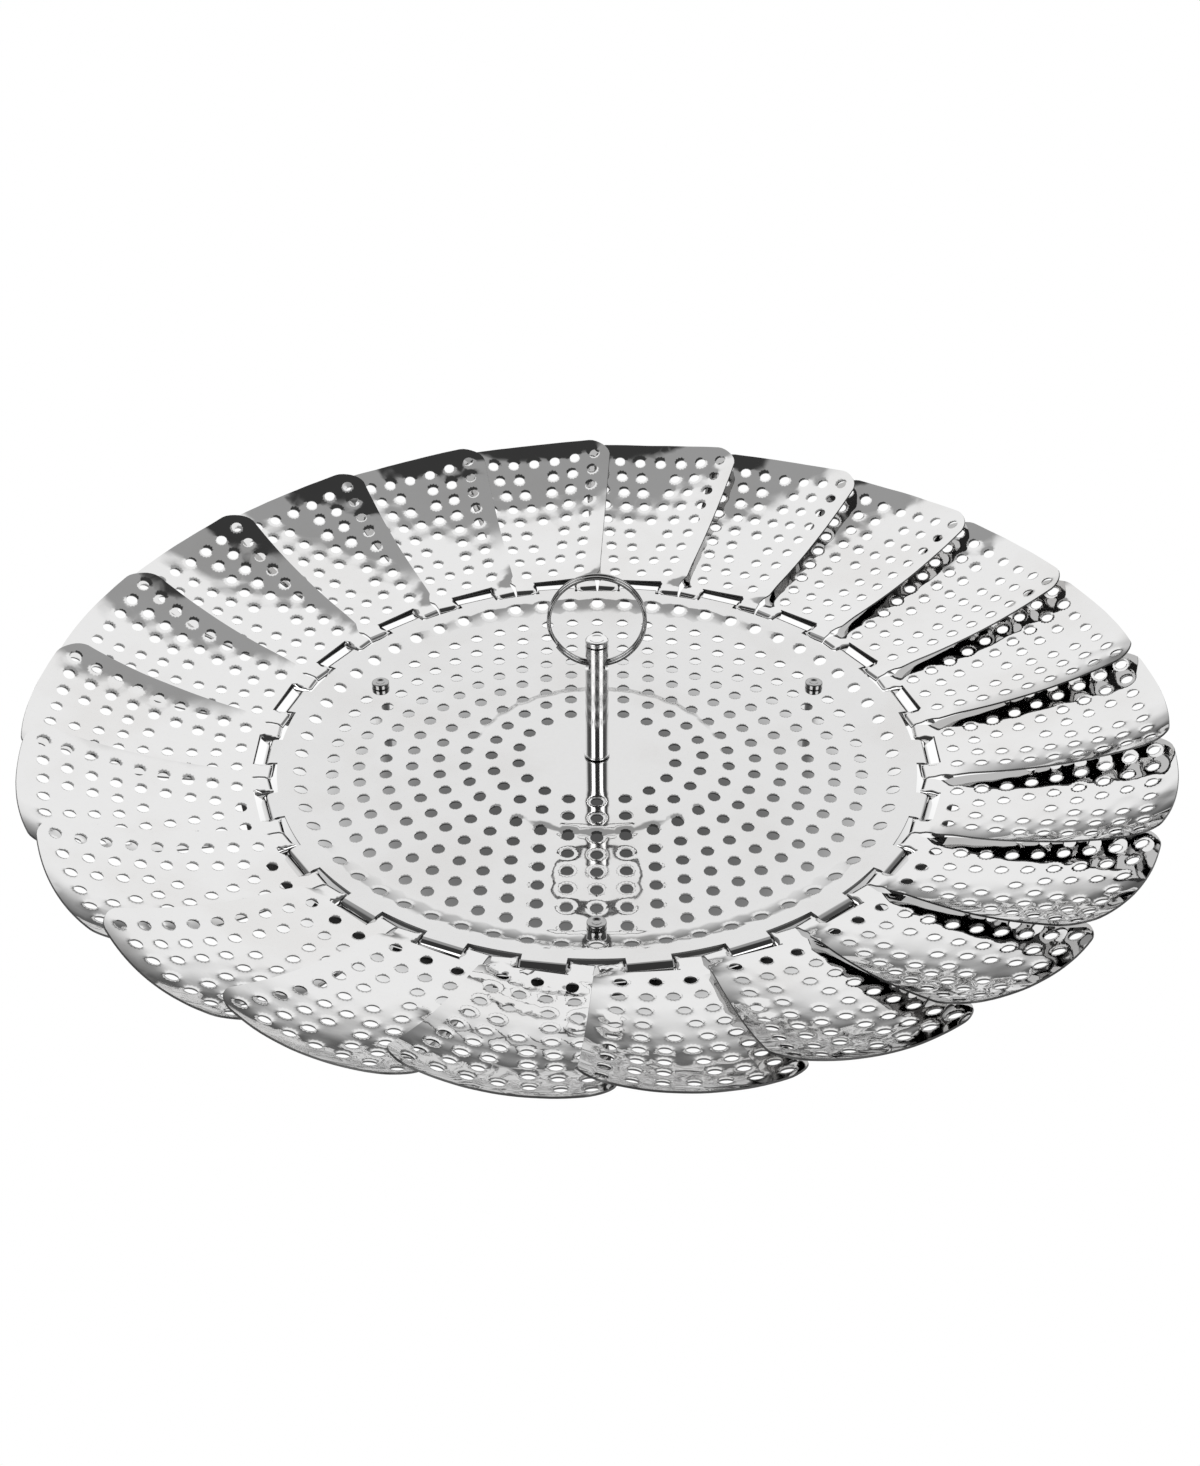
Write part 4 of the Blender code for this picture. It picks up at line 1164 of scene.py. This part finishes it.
for number, place in enumerate(leg_places, start=1):
    radius, foot, top = turned_size(f"leg_{number}")
    profile = ((0.0, foot), (radius - ROD_BEVEL, foot), (radius, foot + ROD_BEVEL), (radius, top),
               (0.0, top))
    turned_piece(f"drawn_leg_{number}", profile, LEG_FINISH, f"leg_{number}", place)
    radius, foot, top = turned_size(f"leg_rivet_{number}")
    profile = ((0.0, foot), (SHANK_RADIUS, foot), (SHANK_RADIUS, RIVET_SEAT_Z), (radius, RIVET_SEAT_Z),
               *head_end(radius, top, RIVET_BEVEL, RIVET_DIMPLE))
    turned_piece(f"dimpled_rivet_{number}", profile, RIVET_PAINTED_SHADE_FINISH,
                 f"leg_rivet_{number}", place)
print("legs:", len(leg_places))

# %% [markdown]
# ## Centre post
#
# The post is a tube with a cross hole near its top. Unrolled, a tube is a flat strip with two round holes,
# so the layout and the press make it too. The surface function rolls the strip up, and its ends are joined.

# %% Post tube
_, POST_FOOT_Z, POST_TOP_Z = turned_size("post_tube")
POST_RADIUS = 2.8 * MM
POST_WALL = 0.8 * MM
COLLAR_RADIUS = 3.15 * MM
COLLAR_HEIGHT = 0.5 * MM
COLLAR_SINK = 0.1 * MM
COLLAR_SOFTNESS = 0.18 * MM
EYE_RADIUS = 2.0 * MM
EYE_Z = 56.5 * MM
EYE_TURNS = (0.25, 0.75)
EYE_SIDES = 32
EYE_KEEP_OFF = 0.15 * MM
TUBE_MIDDLE = POST_RADIUS - POST_WALL / 2
TUBE_STEPS = 48
TUBE_ROWS = 24
tube_length = math.tau * TUBE_MIDDLE


def eye_loop(turn):
    """The cross hole on the unrolled strip, about a point a share of a turn along it."""
    angles = np.arange(EYE_SIDES) * math.tau / EYE_SIDES
    swing = np.arcsin(EYE_RADIUS * np.cos(angles) / TUBE_MIDDLE)
    return np.column_stack((tube_length * turn + swing * TUBE_MIDDLE, EYE_Z + EYE_RADIUS * np.sin(angles)))


def tube_layout():
    """A strip whose left and right ends have the same points, triangulated and then joined."""
    around = np.linspace(0.0, tube_length, TUBE_STEPS + 1)
    rows = np.linspace(POST_FOOT_Z, POST_TOP_Z, TUBE_ROWS)
    edge = np.array([(x, rows[0]) for x in around] + [(tube_length, y) for y in rows[1:-1]]
                    + [(x, rows[-1]) for x in around[::-1]] + [(0.0, y) for y in rows[-2:0:-1]])
    eyes = [eye_loop(turn) for turn in EYE_TURNS]
    inner = np.array([(x, y) for x in around[1:-1] for y in rows[1:-1]])
    clear = least_distances(inner, np.concatenate(eyes)) > EYE_KEEP_OFF
    for eye in eyes:
        middle = eye.mean(0)
        clear &= (((inner - middle) / (eye.max(0) - middle)) ** 2).sum(1) > 1
    flat, triangles = triangulate([edge, *eyes], (inner[clear],))
    twin = np.arange(len(flat))
    left = np.flatnonzero(flat[:, 0] < SAME_PLACE)
    for index in np.flatnonzero(flat[:, 0] > tube_length - SAME_PLACE):
        twin[index] = left[np.argmin(np.abs(flat[left, 1] - flat[index, 1]))]
    return keep_used(flat, twin[triangles])


def tube_surface(flat):
    angle = flat[:, 0] / TUBE_MIDDLE - math.pi / 2
    return np.column_stack((TUBE_MIDDLE * np.cos(angle), TUBE_MIDDLE * np.sin(angle), flat[:, 1]))


tube_shell = press(*tube_layout(), tube_surface, POST_WALL)
profile = ring_profile(POST_RADIUS - COLLAR_SINK, COLLAR_RADIUS, POST_FOOT_Z, POST_FOOT_Z + COLLAR_HEIGHT)
collar_shell = turn_profile(profile, COLLAR_SOFTNESS)
tube = make_piece("collared_post_tube", [tube_shell, collar_shell], (POST_FINISH, POST_FINISH),
                  "base", "post_tube")
print("tube faces:", len(tube.data.polygons))

# %% [markdown]
# A plug with a dished top closes the tube, and a screw with a washer draws it down onto the plate.

# %% Cap, washer and screw
CAP_HEIGHT = 1.4 * MM
CAP_BEVEL = (0.45 * MM, 0.35 * MM)
CAP_DISH = ((1.9 * MM, 0.0), (1.4 * MM, 0.2 * MM), (0.0, 0.3 * MM))
PLUG_RADIUS = 1.7 * MM
WASHER_HOLE_RADIUS = 2.1 * MM
WASHER_SOFTNESS = 0.15 * MM
SCREW_RADIUS = 1.7 * MM
SCREW_HEAD_GAP = 0.3 * MM

radius, foot, top = turned_size("post_cap")
profile = ((0.0, foot), (PLUG_RADIUS, foot), (PLUG_RADIUS, top - CAP_HEIGHT),
           (POST_RADIUS, top - CAP_HEIGHT), *head_end(POST_RADIUS, top, CAP_BEVEL, CAP_DISH))
turned_piece("dished_cap", profile, POST_FINISH, "post_cap")

radius, foot, top = turned_size("post_washer")
profile = ring_profile(WASHER_HOLE_RADIUS, radius, foot, top)
turned_piece("flat_washer", profile, POST_FINISH, "post_washer", softness=WASHER_SOFTNESS)

head_top = foot - SCREW_HEAD_GAP
radius, foot, top = turned_size("post_screw")
profile = ((0.0, foot), (radius - ROD_BEVEL, foot), (radius, foot + ROD_BEVEL), (radius, head_top),
           (SCREW_RADIUS, head_top), (SCREW_RADIUS, top), (0.0, top))
turned_piece("slotted_screw", profile, POST_FINISH, "post_screw")
print("post parts are in place")

# %% [markdown]
# ## Pull ring
#
# The ring is two turns of wire, wound side by side with a gap. The wire crosses from one side to the other
# in one short jog. We follow its centre line with a fine tube whose ends are cut square.

# %% Pull ring
RING_OUTER_RADIUS = 11.85 * MM
RING_WIRE_RADIUS = 0.5 * MM
RING_TURN_OFFSET = 0.725 * MM
RING_TURNS = 2
RING_LEAN = math.radians(5)
RING_END_AZIMUTH = math.radians(215)
RING_JOG = math.radians(30)
RING_STEPS = 240
WIRE_SIDES = 20


def ring_line():
    wound = RING_TURNS * math.tau - RING_JOG
    angle = np.linspace(0.0, wound, RING_STEPS + 1)
    crossing = ease(math.tau - RING_JOG, math.tau, angle)
    azimuth = RING_END_AZIMUTH + angle
    radius = RING_OUTER_RADIUS - RING_WIRE_RADIUS
    return np.column_stack((radius * np.cos(azimuth), RING_TURN_OFFSET * (2 * crossing - 1),
                            radius * (1 + np.sin(azimuth))))


lean = np.array(Matrix.Rotation(-RING_LEAN, 3, "X"))
pivot = np.array(joints["pull_ring_swing"]["pos_m"])
ring_shell = sweep(ring_line(), (0.0, 1.0, 0.0), RING_WIRE_RADIUS, WIRE_SIDES).moved(lean, pivot)
# The wire's finish is steel darkened as painted shade.
ring = make_piece("split_pull_ring", [ring_shell], (WIRE_PAINTED_SHADE_FINISH,), "pull_ring", "pull_ring")
print("ring faces:", len(ring.data.polygons))
